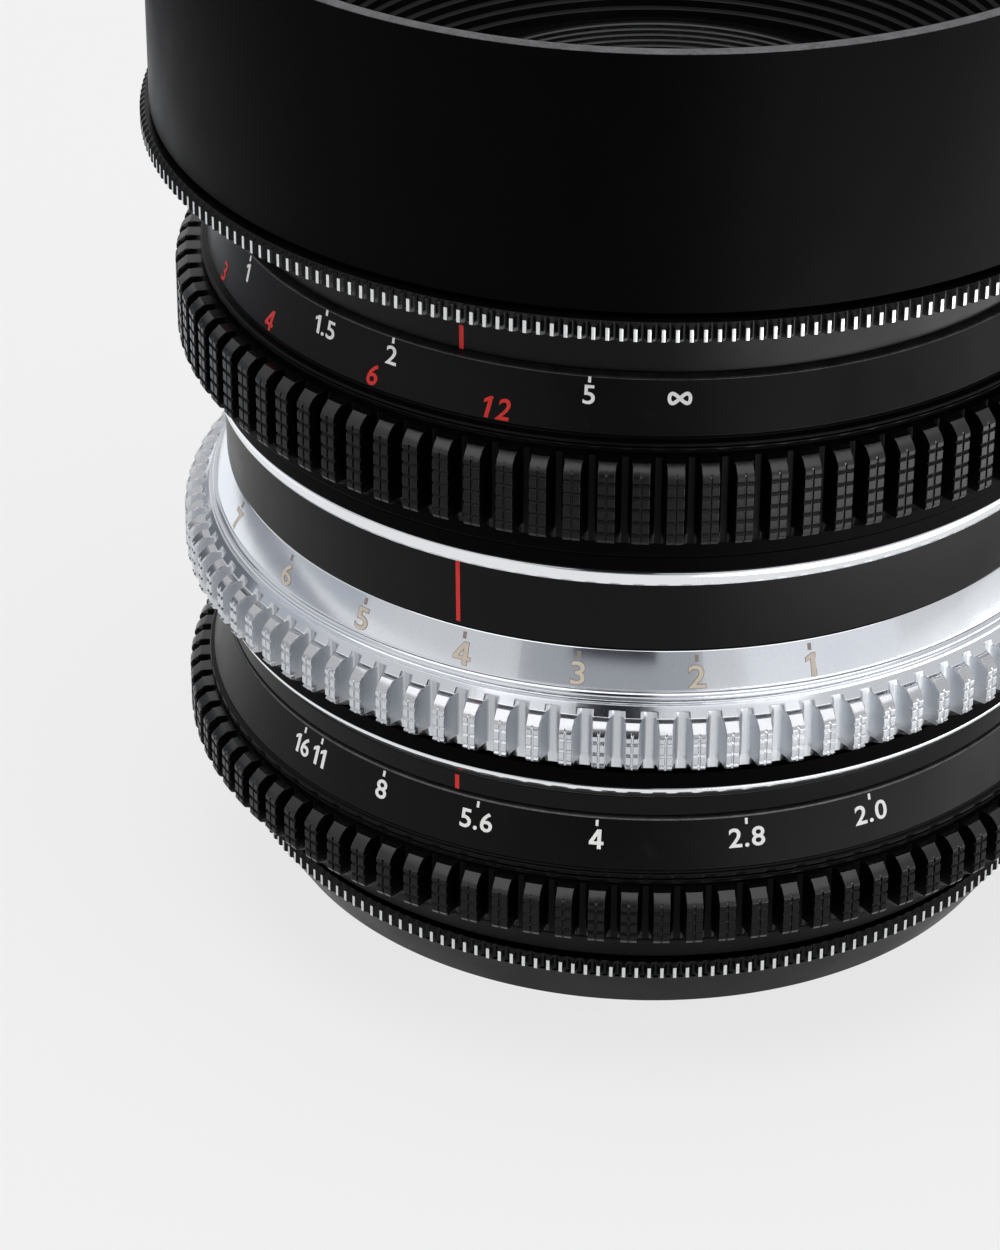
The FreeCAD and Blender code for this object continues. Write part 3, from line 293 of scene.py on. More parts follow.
def paint_gear(gear):
    """Material 1 in the spaces, 2 on the teeth, 3 below them as painted shade, 4 on the top edge, 5 on the
    shoulders.
    """
    reach_below, reach_above, bare_below = 0.9, 1.0, 0.3
    hidden_below, hidden_above = 33.0, 34.0

    def slots(across, radius, height, outer):
        proud = outer > ROOT_RADIUS + TOUCH
        toothed_part = (height > gear.low - reach_below) & (height < gear.high + reach_above) & proud
        teeth = toothed_part & (height < gear.high + TOUCH)
        shoulder = height > gear.high - SHOULDER_DROP - TOUCH
        sunk = (radius < outer - TOUCH) & (radius < TIP_RADIUS - UPRIGHT_GROOVE_DEPTH - TOUCH)
        painted_shade_below = (height < gear.low - bare_below) & (outer > hidden_below) & (outer < ROOT_RADIUS + TOUCH)
        paint = np.where(teeth, np.where(shoulder, 5, 2), 0)
        paint = np.where(toothed_part & sunk, 1, paint)
        paint = np.where(painted_shade_below, 3, paint)
        return np.where((height > gear.edge) & (outer > hidden_above), 4, paint).astype(np.int32)

    return slots


def geared_ring(name, below, above, gear):
    """A ring with its teeth between the outline below them and the outline above them."""
    outline = below + pad_grooves(gear) + tooth_shoulder(gear.high) + above
    return toothed(name, outline, TEETH, gear_columns(gear), gear_floor(gear), paint_gear(gear),
                   gear.turn, PLAIN_STRIDE)


def double_bead(bottom, top, radius):
    """Two rounded beads, from the bottom up."""
    shape = [(-0.22, 0.0), (-0.05, 0.06), (0.0, 0.16), (0.0, 0.36), (-0.2, 0.45), (-0.2, 0.49),
             (0.03, 0.58), (0.06, 0.68), (0.0, 0.88), (-0.12, 0.96), (-0.3, 1.0)]
    return [(radius + out, bottom + share * (top - bottom)) for out, share in shape]


# knurls and steps


def knurl_floor(outer, land, half, depth):
    """The radius that a knurl's rounded grooves leave."""

    def radius(across):
        side = np.clip((np.abs(across) - land) / (half - land), 0, 1)
        return outer - depth * np.sin(side * math.pi / 2) ** 0.8

    return radius


def paint_ribs(land, low, high):
    """Material 1 on the tops of the ribs: bare metal, made pale so that it paints their highlight too."""

    def slots(across, radius, height, outer):
        rib = (across > -land - 0.01) & (across < land - 0.01)
        return (rib & (height > low) & (height < high) & (radius > outer - TOUCH)).astype(np.int32)

    return slots


def knurled(name, inner, outer, bottom, top, count, land, depth, slope):
    """A ring with upright ribs, each land wide to either side, and a bevel above them."""
    chamfer = 0.1
    half = math.pi * outer / count
    right = [land, land + 0.05, half * 0.55, half * 0.82]
    across = [-x for x in reversed(right)] + right + [half]
    low, high = bottom + chamfer, top - slope
    rings = [(inner, bottom), (outer - 0.08, bottom)]
    rings += [(outer, low + (high - low) * share) for share in (0.0, 0.25, 0.5, 0.75, 1.0)]
    rings += [(outer - slope * 0.9 * share, high + slope * share) for share in (0.2, 0.4, 0.6, 0.8, 1.0)]
    rings += [(inner, top)]
    return toothed(name, rings, count, np.array(across), knurl_floor(outer, land, half, depth),
                   paint_ribs(land, low, high + TOUCH))


def stepped_cone(low, high, steps, riser=0.82):
    """Points of a cone made of upright risers and sloping shelves, from low to high."""
    (r0, z0), (r1, z1) = low, high
    points = []
    for number in range(steps):
        start = number / steps
        radius = r0 + (r1 - r0) * start
        points.append((radius, z0 + (z1 - z0) * start))
        points.append((radius + 0.04, z0 + (z1 - z0) * (start + riser / steps)))
    return points + [high]


# marks


def on_band(band, angle, height, out):
    """A point on a turned band, lifted off it by out."""
    radius = np.interp(height, [z for _, z in band], [r for r, _ in band]) + out
    return (radius * math.cos(angle) * MM, radius * math.sin(angle) * MM, height * MM)


LETTER_SPACE = 0.17
MARK_PROUD = 0.025
MARK_SUNK = -0.08
INFINITY_STEPS = 72

# Digits drawn one by one, one unit tall: their closed outlines, and the faces over them as the
# numbers of the outlines' points.
DRAWN = {
    "1": ([[(0.30, 0.0), (0.47, 0.0), (0.47, 1.0), (0.33, 1.0), (0.10, 0.84), (0.10, 0.69), (0.30, 0.80)]],
          [(0, 1, 2, 6), (2, 3, 6), (3, 4, 5, 6)]),
    "4": ([[(0.0, 0.22), (0.40, 0.22), (0.40, 0.0), (0.56, 0.0), (0.56, 0.22), (0.68, 0.22), (0.68, 0.36),
            (0.56, 0.36), (0.56, 1.0), (0.38, 1.0), (0.0, 0.36)],
           [(0.18, 0.36), (0.40, 0.76), (0.40, 0.36)]],
          [(0, 1, 13, 11, 10), (2, 3, 4, 1), (4, 5, 6, 7), (1, 4, 7, 13), (13, 7, 8, 12), (12, 8, 9),
           (10, 11, 12, 9)]),
}


def grown(loop, distance):
    """A closed outline moved by distance to the right of its own direction."""
    points = np.array(loop, float)
    before, after = points - np.roll(points, 1, axis=0), np.roll(points, -1, axis=0) - points
    before /= np.linalg.norm(before, axis=1, keepdims=True)
    after /= np.linalg.norm(after, axis=1, keepdims=True)
    outward = np.stack([before[:, 1] + after[:, 1], -before[:, 0] - after[:, 0]], axis=1)
    return points + outward * distance / (1 + (before * after).sum(axis=1, keepdims=True))


def drawn_mesh(letter, bold, slant):
    """A digit drawn as straight outlines, as a slab one unit tall."""
    loops, parts = DRAWN[letter]
    outline = np.concatenate([grown(loop, bold) for loop in loops])
    outline[:, 0] += slant * outline[:, 1]
    count = len(outline)
    points = [(x, y, z) for z in (-0.5, 0.5) for x, y in outline]
    faces = [tuple(count + corner for corner in part) for part in parts]
    faces += [tuple(reversed(part)) for part in parts]
    start = 0
    for loop in loops:
        ring = list(range(start, start + len(loop)))
        faces += [(a, b, count + b, count + a) for a, b in zip(ring, ring[1:] + ring[:1])]
        start += len(loop)
    return np.array(points, float), faces


def letters_mesh(text, bold, slant):
    """A row of digits, each one unit tall, as a slab."""
    points, faces, left = [], [], 0.0
    for letter in text:
        if letter in DRAWN:
            shape, letter_faces = drawn_mesh(letter, bold, slant)
        else:
            shape, letter_faces = glyph_mesh(letter, bold, slant)
            shape[:, :2] /= GLYPH_TALL
        low, high = shape[:, 0].min(), shape[:, 0].max()
        shape[:, 0] += left - low
        left += high - low + LETTER_SPACE - 2 * bold
        start = len(points)
        points += shape.tolist()
        faces += [tuple(start + corner for corner in face) for face in letter_faces]
    return np.array(points, float), faces


def glyph_mesh(letter, bold, slant):
    """A digit of the plain built-in font, as a slab: its vertices and faces, in text units."""
    curve = bpy.data.curves.new("glyph", "FONT")
    curve.body = letter
    curve.offset = bold
    curve.shear = slant
    curve.extrude = 0.5
    curve.resolution_u = 6
    holder = linked("glyph", curve)
    bpy.context.view_layer.update()
    mesh = bpy.data.meshes.new_from_object(holder.evaluated_get(bpy.context.evaluated_depsgraph_get()))
    points = np.array([v.co for v in mesh.vertices], float)
    faces = [tuple(p.vertices) for p in mesh.polygons]
    bpy.data.objects.remove(holder)
    bpy.data.curves.remove(curve)
    bpy.data.meshes.remove(mesh)
    return points, faces


GLYPH_TALL = float(np.ptp(glyph_mesh("0", 0.0, 0.0)[0][:, 1]))


class Marks:
    """Collects raised marks of one colour into a single piece."""

    def __init__(self, name):
        self.name, self.points, self.faces = name, [], []

    def add(self, points, faces):
        start = len(self.points)
        self.points += points
        self.faces += [tuple(start + corner for corner in face) for face in faces]

    def text(self, text, band, angle, middle, tall, proud=MARK_PROUD, bold=0.0, slant=0.0, wide=1.12):
        """A number laid round the band, tall high and stretched sideways by wide."""
        points, faces = letters_mesh(text, bold, slant)
        low, high = points.min(axis=0), points.max(axis=0)
        scale = tall / (high[1] - low[1] - 2 * bold)
        centre = (low + high) / 2
        placed = []
        for x, y, z in points - centre:
            height = middle + y * scale
            at = math.radians(INDEX + angle) + x * scale * wide / band[0][0]
            placed.append(on_band(band, at, height, proud if z > 0 else MARK_SUNK))
        self.add(placed, faces)

    def bar(self, band, angle, low, high, width, proud=MARK_PROUD):
        """A short upright line, rounded over the band by a few columns."""
        placed, faces = [], []
        columns, rows = 3, 5
        for out in (MARK_SUNK, proud):
            for row in range(rows):
                height = low + (high - low) * row / (rows - 1)
                for column in range(columns):
                    side = (column / (columns - 1) - 0.5) * width
                    at = math.radians(INDEX + angle) + side / band[0][0]
                    placed.append(on_band(band, at, height, out))
        layer = rows * columns
        for row in range(rows - 1):
            for column in range(columns - 1):
                a = row * columns + column
                faces.append((a, a + columns, a + columns + 1, a + 1))
                faces.append((layer + a, layer + a + 1, layer + a + columns + 1, layer + a + columns))
        rim = (
            list(range(columns))
            + [row * columns + columns - 1 for row in range(1, rows)]
            + [(rows - 1) * columns + column for column in reversed(range(columns - 1))]
            + [row * columns for row in reversed(range(1, rows - 1))]
        )
        for a, b in zip(rim, rim[1:] + rim[:1]):
            faces.append((a, b, layer + b, layer + a))
        self.add(placed, faces)

    def infinity(self, band, angle, middle, wide, tall, stroke):
        """The infinity sign, a flat band along a figure of eight."""
        points, faces = [], []
        corners = ((-0.5, MARK_SUNK), (0.5, MARK_SUNK), (0.5, MARK_PROUD), (-0.5, MARK_PROUD))
        for side, (across, out) in enumerate(corners):
            this, following = side * INFINITY_STEPS, (side + 1) % 4 * INFINITY_STEPS
            for step in range(INFINITY_STEPS):
                t = 2 * math.pi * step / INFINITY_STEPS
                x, y = math.cos(t) * (wide - stroke) / 2, math.sin(2 * t) * (tall - stroke) / 2
                dx, dy = -math.sin(t) * (wide - stroke) / 2, math.cos(2 * t) * (tall - stroke)
                shift = stroke * across / math.hypot(dx, dy)
                x, y = x - dy * shift, y + dx * shift
                at = math.radians(INDEX + angle) + x / band[0][0]
                points.append(on_band(band, at, middle + y, out))
                ahead = (step + 1) % INFINITY_STEPS
                faces.append((following + step, following + ahead, this + ahead, this + step))
        self.add(points, faces)

    def piece(self, material, body):
        """The finished piece, riding with a body."""
        mesh = bpy.data.meshes.new(self.name)
        mesh.from_pydata(self.points, [], self.faces)
        mesh.materials.append(material)
        piece = linked(self.name, mesh)
        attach(piece, body)
        return piece


# materials


TONE_START, TONE_END = 0.3, 0.7
NOISE_ROUGHNESS = 0.6
WEAR_SCALE = 420


def shader(name):
    """A new material with its nodes and links."""
    material = bpy.data.materials.new(name)
    material.use_nodes = True
    return material, material.node_tree.nodes, material.node_tree.links


def set_inputs(node, values):
    """Gives the node's inputs their values by name."""
    for name, value in values.items():
        node.inputs[name].default_value = value


def place_of(nodes, links):
    """Object coordinates, and the same folded to (radius, 0, height) for turned lines."""
    coordinates = nodes.new("ShaderNodeTexCoord")
    parts = nodes.new("ShaderNodeSeparateXYZ")
    flat = nodes.new("ShaderNodeCombineXYZ")
    length = nodes.new("ShaderNodeVectorMath")
    length.operation = "LENGTH"
    turned = nodes.new("ShaderNodeCombineXYZ")
    links.new(coordinates.outputs["Object"], parts.inputs[0])
    links.new(parts.outputs["X"], flat.inputs["X"])
    links.new(parts.outputs["Y"], flat.inputs["Y"])
    links.new(flat.outputs[0], length.inputs[0])
    links.new(length.outputs["Value"], turned.inputs["X"])
    links.new(parts.outputs["Z"], turned.inputs["Z"])
    return coordinates.outputs["Object"], turned.outputs[0]


def noise(nodes, links, vector, scale, detail=3.0):
    """Noise at a scale in cycles per metre."""
    texture = nodes.new("ShaderNodeTexNoise")
    set_inputs(texture, {"Scale": scale, "Detail": detail, "Roughness": NOISE_ROUGHNESS})
    links.new(vector, texture.inputs["Vector"])
    return texture.outputs["Fac"]


def spread(nodes, links, value, low, high, start=TONE_START, end=TONE_END):
    """The value, stretched from start and end to low and high."""
    band = nodes.new("ShaderNodeMapRange")
    set_inputs(band, {"From Min": start, "From Max": end, "To Min": low, "To Max": high})
    links.new(value, band.inputs["Value"])
    return band.outputs["Result"]


def blend_colours(nodes, links, value, dark, light):
    """A colour between dark and light."""
    ramp = nodes.new("ShaderNodeValToRGB")
    for stop, position, colour in zip(ramp.color_ramp.elements, (TONE_START, TONE_END), (dark, light)):
        stop.position = position
        stop.color = (*colour, 1)
    links.new(value, ramp.inputs[0])
    return ramp.outputs[0]


def relief(nodes, links, value, depth, before=None):
    """A normal roughened by the value, depth millimetres deep, over the normal before it."""
    bump = nodes.new("ShaderNodeBump")
    bump.inputs["Distance"].default_value = depth * MM
    links.new(value, bump.inputs["Height"])
    if before is not None:
        links.new(before, bump.inputs["Normal"])
    return bump.outputs[0]


def worn(nodes, links, colour, place, grains, bare):
    """The colour, rubbed to a lighter one in a few small spots."""
    rubbed = spread(nodes, links, noise(nodes, links, place, WEAR_SCALE, 5), 0.0, 0.7, 0.6, 0.72)
    broken = spread(nodes, links, grains, 0.2, 1.0, 0.4, 0.6)
    amount = nodes.new("ShaderNodeMath")
    amount.operation = "MULTIPLY"
    links.new(rubbed, amount.inputs[0])
    links.new(broken, amount.inputs[1])
    mix = nodes.new("ShaderNodeMixRGB")
    mix.inputs["Color2"].default_value = (*bare, 1)
    links.new(amount.outputs[0], mix.inputs["Fac"])
    links.new(colour, mix.inputs["Color1"])
    return mix.outputs[0]


def finish(name, dark, light, rough, metallic=0.0, specular=0.5, grain=9000, grain_depth=0.004,
           lines=0.0, line_scale=9000, patch=120, along=0.0, wear=None):
    """A surface with fine grain and slow changes of tone and gloss.

    lines is the depth of turned lines round the axis, along draws the gloss out round the
    axis, and wear is the colour of small rubbed spots.
    """
    material, nodes, links = shader(name)
    principled = nodes["Principled BSDF"]
    place, turned = place_of(nodes, links)
    patches = noise(nodes, links, place, patch, 4)
    grains = noise(nodes, links, place, grain, 2)
    tone = nodes.new("ShaderNodeMath")
    tone.operation = "MULTIPLY_ADD"
    tone.inputs[1].default_value = 0.5
    links.new(patches, tone.inputs[0])
    halved = nodes.new("ShaderNodeMath")
    halved.operation = "MULTIPLY"
    halved.inputs[1].default_value = 0.5
    links.new(grains, halved.inputs[0])
    links.new(halved.outputs[0], tone.inputs[2])
    colour = blend_colours(nodes, links, tone.outputs[0], dark, light)
    if wear is not None:
        colour = worn(nodes, links, colour, place, grains, wear)
    links.new(colour, principled.inputs["Base Color"])
    links.new(spread(nodes, links, patches, rough[0], rough[1]), principled.inputs["Roughness"])
    normal = relief(nodes, links, grains, grain_depth)
    if lines:
        normal = relief(nodes, links, noise(nodes, links, turned, line_scale, 2), lines, normal)
    links.new(normal, principled.inputs["Normal"])
    set_inputs(principled, {"Metallic": metallic, "Specular IOR Level": specular})
    if along:
        tangent = nodes.new("ShaderNodeTangent")
        tangent.direction_type = "RADIAL"
        tangent.axis = "Z"
        links.new(tangent.outputs[0], principled.inputs["Tangent"])
        set_inputs(principled, {"Anisotropic": along, "Anisotropic Rotation": 0.25})
    return material


BLACK = finish(
    "black_anodised", (0.0008, 0.0008, 0.001), (0.0022, 0.0022, 0.0025), (0.34, 0.44), specular=0.045,
    grain=7000, grain_depth=0.01)
BLACK_SHELL = finish(
    "black_satin_shell", (0.0003, 0.0003, 0.0004), (0.0009, 0.0009, 0.0012), (0.32, 0.42), specular=0.027,
    grain=7000, grain_depth=0.01)
BLACK_BAND = finish(
    "black_turned_band", (0.0006, 0.0006, 0.0008), (0.0015, 0.0015, 0.0018), (0.28, 0.38), specular=0.125,
    grain=7000, lines=0.004, line_scale=7000, wear=(0.006, 0.006, 0.0064))
BLACK_BARREL = finish(
    "black_turned_barrel", (0.0006, 0.0006, 0.0008), (0.0015, 0.0015, 0.0018), (0.28, 0.38), specular=0.125,
    grain=7000, lines=0.004, line_scale=7000)
# Painted shade: a darker, duller black than the others, for the black skirts below the teeth and the recessed
# black collars.
BLACK_WITH_PAINTED_SHADE = finish(
    "black_with_painted_shade", (0.0003, 0.0003, 0.0004), (0.001, 0.001, 0.0012), (0.34, 0.44), specular=0.02,
    grain=7000, grain_depth=0.006)
BLACK_GEAR = finish(
    "black_gear_teeth", (0.001, 0.001, 0.0012), (0.003, 0.003, 0.0034), (0.2, 0.3), specular=0.16,
    grain=6000, grain_depth=0.006, wear=(0.008, 0.008, 0.0084))
BLACK_SHOULDER = finish(
    "black_glossy_shoulders", (0.001, 0.001, 0.0012), (0.003, 0.003, 0.0034), (0.18, 0.26),
    specular=0.62, grain=6000, grain_depth=0.005, wear=(0.01, 0.01, 0.0104))
BLACK_SPACE = finish(
    "black_tooth_spaces", (0.0006, 0.0006, 0.0007), (0.0016, 0.0016, 0.0018), (0.34, 0.44), specular=0.07,
    grain=6000, grain_depth=0.006)
WORN_EDGE = finish(
    "worn_ring_edge", (0.05, 0.05, 0.052), (0.16, 0.16, 0.165), (0.26, 0.36), metallic=0.7, grain=5000,
    grain_depth=0.006, patch=700)
MATTE = finish(
    "matte_black_paint", (0.0014, 0.0014, 0.0016), (0.0036, 0.0035, 0.0037), (0.32, 0.46), specular=0.2,
    grain=5000, grain_depth=0.008)
MATTE_RIDGES = finish(
    "matte_black_ridges", (0.002, 0.002, 0.0022), (0.005, 0.005, 0.0052), (0.28, 0.4), specular=0.55,
    grain=5000, grain_depth=0.006)
POLISHED = finish(
    "polished_aluminium", (0.72, 0.75, 0.8), (0.84, 0.86, 0.89), (0.1, 0.17), metallic=1.0,
    grain_depth=0.0004, lines=0.0004, line_scale=5000, patch=60, along=0.5)
GEAR_ALUMINIUM = finish(
    "gear_aluminium", (0.55, 0.57, 0.6), (0.66, 0.68, 0.71), (0.16, 0.26), metallic=1.0, grain=8000,
    grain_depth=0.001, patch=300)
SHOULDER_ALUMINIUM = finish(
    "gear_shoulder_aluminium", (0.58, 0.59, 0.61), (0.68, 0.69, 0.71), (0.1, 0.18), metallic=1.0,
    grain=8000, grain_depth=0.0006, patch=300)
SPACE_ALUMINIUM = finish(
    "gear_space_aluminium", (0.58, 0.6, 0.63), (0.68, 0.7, 0.73), (0.34, 0.44), metallic=1.0,
    grain=8000, patch=300)
BRIGHT_CUT = finish(
    "bright_cut_aluminium", (0.8, 0.82, 0.85), (0.9, 0.91, 0.93), (0.06, 0.12), metallic=1.0,
    grain_depth=0.0002, lines=0.0002, line_scale=6000, patch=60)
# Bare metal on the rib tops, made pale so that it also paints the ribs' highlight.
RIB_METAL_AND_HIGHLIGHT = finish(
    "bare_rib_tops_and_painted_highlight", (0.62, 0.63, 0.64), (0.78, 0.79, 0.8), (0.3, 0.42), metallic=0.55, grain=8000)
CHROME = finish(
    "satin_chrome", (0.52, 0.53, 0.55), (0.64, 0.65, 0.67), (0.2, 0.3), metallic=1.0,
    grain_depth=0.002, lines=0.002, line_scale=7000)
RAW = finish(
    "raw_aluminium", (0.5, 0.51, 0.52), (0.62, 0.63, 0.64), (0.3, 0.42), metallic=1.0, grain=8000,
    grain_depth=0.003, lines=0.004, line_scale=5000)
BRASS = finish(
    "cam_brass", (0.55, 0.38, 0.14), (0.68, 0.5, 0.22), (0.22, 0.34), metallic=1.0, grain=8000,
    grain_depth=0.002, lines=0.003, line_scale=6000)
STEEL = finish(
    "screw_steel", (0.36, 0.36, 0.37), (0.5, 0.5, 0.51), (0.22, 0.34), metallic=1.0,
    grain_depth=0.002)
BLADE = finish(
    "blade_steel", (0.035, 0.035, 0.037), (0.06, 0.06, 0.062), (0.34, 0.46), metallic=0.9,
    grain_depth=0.002, patch=200)
PLASTIC = finish(
    "black_plastic", (0.01, 0.01, 0.01), (0.018, 0.018, 0.018), (0.42, 0.55), specular=0.4, grain=4000,
    grain_depth=0.012)
WHITE_PAINT = finish(
    "white_paint", (0.74, 0.74, 0.73), (0.86, 0.86, 0.85), (0.45, 0.6), specular=0.3, grain=6000,
    grain_depth=0.006)
RED_PAINT = finish(
    "red_paint", (0.52, 0.018, 0.016), (0.66, 0.036, 0.03), (0.45, 0.6), specular=0.2, grain=6000,
    grain_depth=0.006)
TAN_PAINT = finish(
    "tan_paint", (0.5, 0.44, 0.36), (0.62, 0.55, 0.47), (0.5, 0.65), specular=0.3, grain=6000,
    grain_depth=0.008)
# A darker tan: painted shade round the bokeh numbers, and the colour of their ticks.
TAN_SHADE_AND_TICKS = finish(
    "tan_painted_shade_and_ticks", (0.2, 0.17, 0.14), (0.3, 0.26, 0.22), (0.45, 0.6), specular=0.3, grain=6000,
    grain_depth=0.006)


def coated_glass():
    """Clear glass with a thin blue coating."""
    material, nodes, links = shader("coated_glass")
    principled = nodes["Principled BSDF"]
    place, _ = place_of(nodes, links)
    set_inputs(principled, {
        "Base Color": (0.97, 0.985, 0.98, 1), "Transmission Weight": 1.0, "IOR": 1.52,
        "Coat Weight": 0.12, "Coat Tint": (0.62, 0.72, 1.0, 1),
    })
    smears, ripples = noise(nodes, links, place, 90), noise(nodes, links, place, 1500)
    links.new(spread(nodes, links, smears, 0.0, 0.012), principled.inputs["Roughness"])
    links.new(relief(nodes, links, ripples, 0.0004), principled.inputs["Normal"])
    return material


SLOT_FINISH = {
    "black_anodised": BLACK, "black_matte_paint": MATTE, "black_plastic": PLASTIC,
    "bright_cut_metal": BRIGHT_CUT, "polished_aluminium": POLISHED, "mount_chrome": CHROME,
    "raw_aluminium": RAW, "cam_brass": BRASS, "screw_steel": STEEL, "blade_steel": BLADE,
    "optical_glass": coated_glass(),
}
BODIES = frame["record"]["behaviour"]["bodies"]
BODY_OF = {node: body for body, members in BODIES.items() for node in members}
SLOT_OF = {row["node"]: row["material_slot"] for row in frame["record"]["subparts"]}

for node, carried in frame["nodes"].items():
    carried.data.materials.clear()
    carried.data.materials.append(SLOT_FINISH[SLOT_OF[node]])


def dress(piece, node, *materials):
    """The piece stands for the node, rides with its body and takes its finish."""
    for material in materials:
        piece.data.materials.append(material)
    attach(piece, BODY_OF[node])
    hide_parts(node)


# the outside, from the front down

THREAD_RADIUS = 38.09
THREAD_PITCH = 0.75
THREAD_DEPTH = 0.4
THREAD_TOP = 86.0
THREAD_POINTS = 6
LIP_RADIUS = 37.1
LIP_THICKNESS = 1.0
BARE_RIM = 0.08
NOSE_BORE = 16.0
REAR_KNURL_BORE = 32.6
UPPER_BEVEL_TOP = 42.4
LOWER_BEVEL_TOP = 23.3


def filter_thread(radius, height, angle):
    """A real helix on the wall of the hood's mouth."""
    phase = (height / THREAD_PITCH + angle / (2 * math.pi)) % 1.0
    tooth = 1 - np.abs(2 * phase - 1)
    on_wall = np.abs(radius - THREAD_RADIUS) < 0.03
    threaded = on_wall & (height > BAFFLE_TOP + 0.2) & (height < THREAD_TOP - 0.1)
    return np.where(threaded, radius + THREAD_DEPTH * tooth, radius)


def hood_shell():
    """The hood, with its bare rim, its threaded mouth and the lip inside it."""
    rim = [(HOOD_RADIUS, HOOD_TOP), (39.1, HOOD_TOP), (38.62, 86.3), (38.4, 86.05)]
    wall = np.arange(THREAD_TOP - 0.12, BAFFLE_TOP + 0.1, -THREAD_PITCH / THREAD_POINTS)
    lip_top, lip_bottom = BAFFLE_TOP - LIP_THICKNESS, BAFFLE_TOP - 2 * LIP_THICKNESS
    outline = [(SEAT_RADIUS, HOOD_BOTTOM), (HOOD_RADIUS, HOOD_BOTTOM)] + rim
    outline += [(THREAD_RADIUS, float(height)) for height in wall]
    outline += [(THREAD_RADIUS, BAFFLE_TOP), (SEAT_RADIUS, BAFFLE_TOP), (SEAT_RADIUS, lip_top)]
    outline += [(LIP_RADIUS, lip_top), (LIP_RADIUS, lip_bottom), (SEAT_RADIUS, lip_bottom)]
    shell = lathe("hood_shell", outline, bend=filter_thread)
    for face in shell.data.polygons:
        if face.center.z > (HOOD_TOP - BARE_RIM) * MM:
            face.material_index = 1
    return shell


def front_index_band():
    """The band that carries the upper index line, and the seat inside the hood."""
    return lathe("front_index_band", [
        (BARREL_BORE, NECK_BOTTOM), *NECK_BAND, (SEAT_RADIUS, FRONT_KNURL_BOTTOM), (SEAT_RADIUS, SEAT_TOP),
        (36.0, SEAT_TOP), (36.0, 66.0), (BARREL_BORE, 66.0),
    ])


def hood_baffle():
    """The stepped cone inside the hood."""
    steps = stepped_cone((25.0, BAFFLE_BOTTOM), (36.3, BAFFLE_TOP), 26)
    flange = BAFFLE_TOP - LIP_THICKNESS
    back = [(SEAT_RADIUS, BAFFLE_TOP), (SEAT_RADIUS, flange), (36.94, flange), (25.92, BAFFLE_BOTTOM)]
    return lathe("hood_baffle", steps + back, FINE_EDGE)


def front_glass_ring():
    """The ridged ring that holds the front glass."""
    steps = stepped_cone((NOSE_BORE, NOSE_BOTTOM + 0.4), (18.8, NOSE_TOP), 12)
    back = [(NOSE_RADIUS, NOSE_TOP), (NOSE_RADIUS, NOSE_BOTTOM),
            (NOSE_BORE, NOSE_BOTTOM)]
    return lathe("front_glass_ring", steps + back, FINE_EDGE)


def focus_ring():
    """The focus ring: teeth, two beads and the cone that carries the scale."""
    below = [(RING_BORE, FOCUS_BOTTOM), (35.9, FOCUS_BOTTOM), (36.0, 44.1), (36.0, 45.4), (36.5, 45.5),
             (36.64, 45.56)]
    above = [(35.9, FOCUS_GEAR.high), (35.85, 53.12), *double_bead(53.16, 53.86, 36.3), (35.72, 53.92),
             (35.72, 54.06), *FOCUS_BAND, (34.68, 58.42), (RING_SEAT, 58.42), (RING_SEAT, 56.65),
             (RING_BORE, 56.65)]
    return geared_ring("focus_ring_gear", below, above, FOCUS_GEAR)


def bokeh_ring():
    """The polished bokeh ring: teeth, a slope with two fine beads above it, and the scale."""
    below = [(RING_BORE, BOKEH_BOTTOM), (35.5, BOKEH_BOTTOM), (35.5, 25.6), (36.5, 25.65), (36.64, 25.7)]
    slope = [(37.04, BOKEH_GEAR.high), (36.95, 30.34), (36.64, 30.738), (36.6, 30.789), (36.56, 30.84),
             (36.35, 31.11)]
    beads = [(36.22, 31.14), (36.3, 31.2), (36.31, 31.28), (36.25, 31.4), (36.1, 31.49), (36.0, 31.5),
             (36.04, 31.58), (36.03, 31.7), (35.95, 31.84), (35.82, 31.94), (35.7, 31.98), (35.68, 32.07)]
    back = [(34.56, 35.06), (RING_SEAT, BOKEH_TOP), (RING_SEAT, 33.25), (RING_BORE, 33.25)]
    return geared_ring("bokeh_ring_gear", below, slope + beads + BOKEH_BAND + back, BOKEH_GEAR)


def aperture_ring():
    """The aperture ring: a skirt, teeth, two beads and the cone that carries the scale."""
    skirt = [(34.25, APERTURE_BOTTOM), (35.6, 8.9), (35.68, 9.2), (35.6, 9.26), (35.72, 9.52), (35.64, 9.58),
             (35.78, 9.75), (36.5, 9.8), (36.64, 9.84)]
    below = [(APERTURE_BORE, 7.05), (COLLAR_BORE, 7.05), (COLLAR_BORE, APERTURE_BOTTOM)] + skirt
    above = [(36.35, 14.8), (36.3, 15.02), *double_bead(15.06, 15.86, 36.66), (36.3, 15.92), (36.3, 16.0),
             *APERTURE_BAND, (35.0, 20.0), (APERTURE_BORE, 20.0), (APERTURE_BORE, 15.75),
             (COLLAR_BORE, 15.75), (COLLAR_BORE, 9.25), (APERTURE_BORE, 9.25)]
    return geared_ring("aperture_ring_gear", below, above, APERTURE_GEAR)


def bevel_ring(name, face):
    """A polished ring with a rounded face."""
    foot, head = (COLLAR_BORE, face[0][1]), (COLLAR_BORE, face[-1][1])
    return lathe(name, [foot, *face, head], BEVEL_EDGE)


def black_collar(name, bottom, top, radius):
    """A plain recessed collar with a chamfered foot."""
    chamfer = 0.15
    return lathe(name, [(COLLAR_BORE, bottom), (radius - chamfer, bottom), (radius, bottom + chamfer),
                        (radius, top), (COLLAR_BORE, top)])


def index_band(name, band, collar_top):
    """A barrel with an index line on its band, and the narrower sleeve above it."""
    band_top = band[-1][1]
    return lathe(name, [(BARREL_BORE, band[0][1]), *band, (COLLAR_BORE, band_top),
                        (COLLAR_BORE, collar_top), (BARREL_BORE, collar_top)])


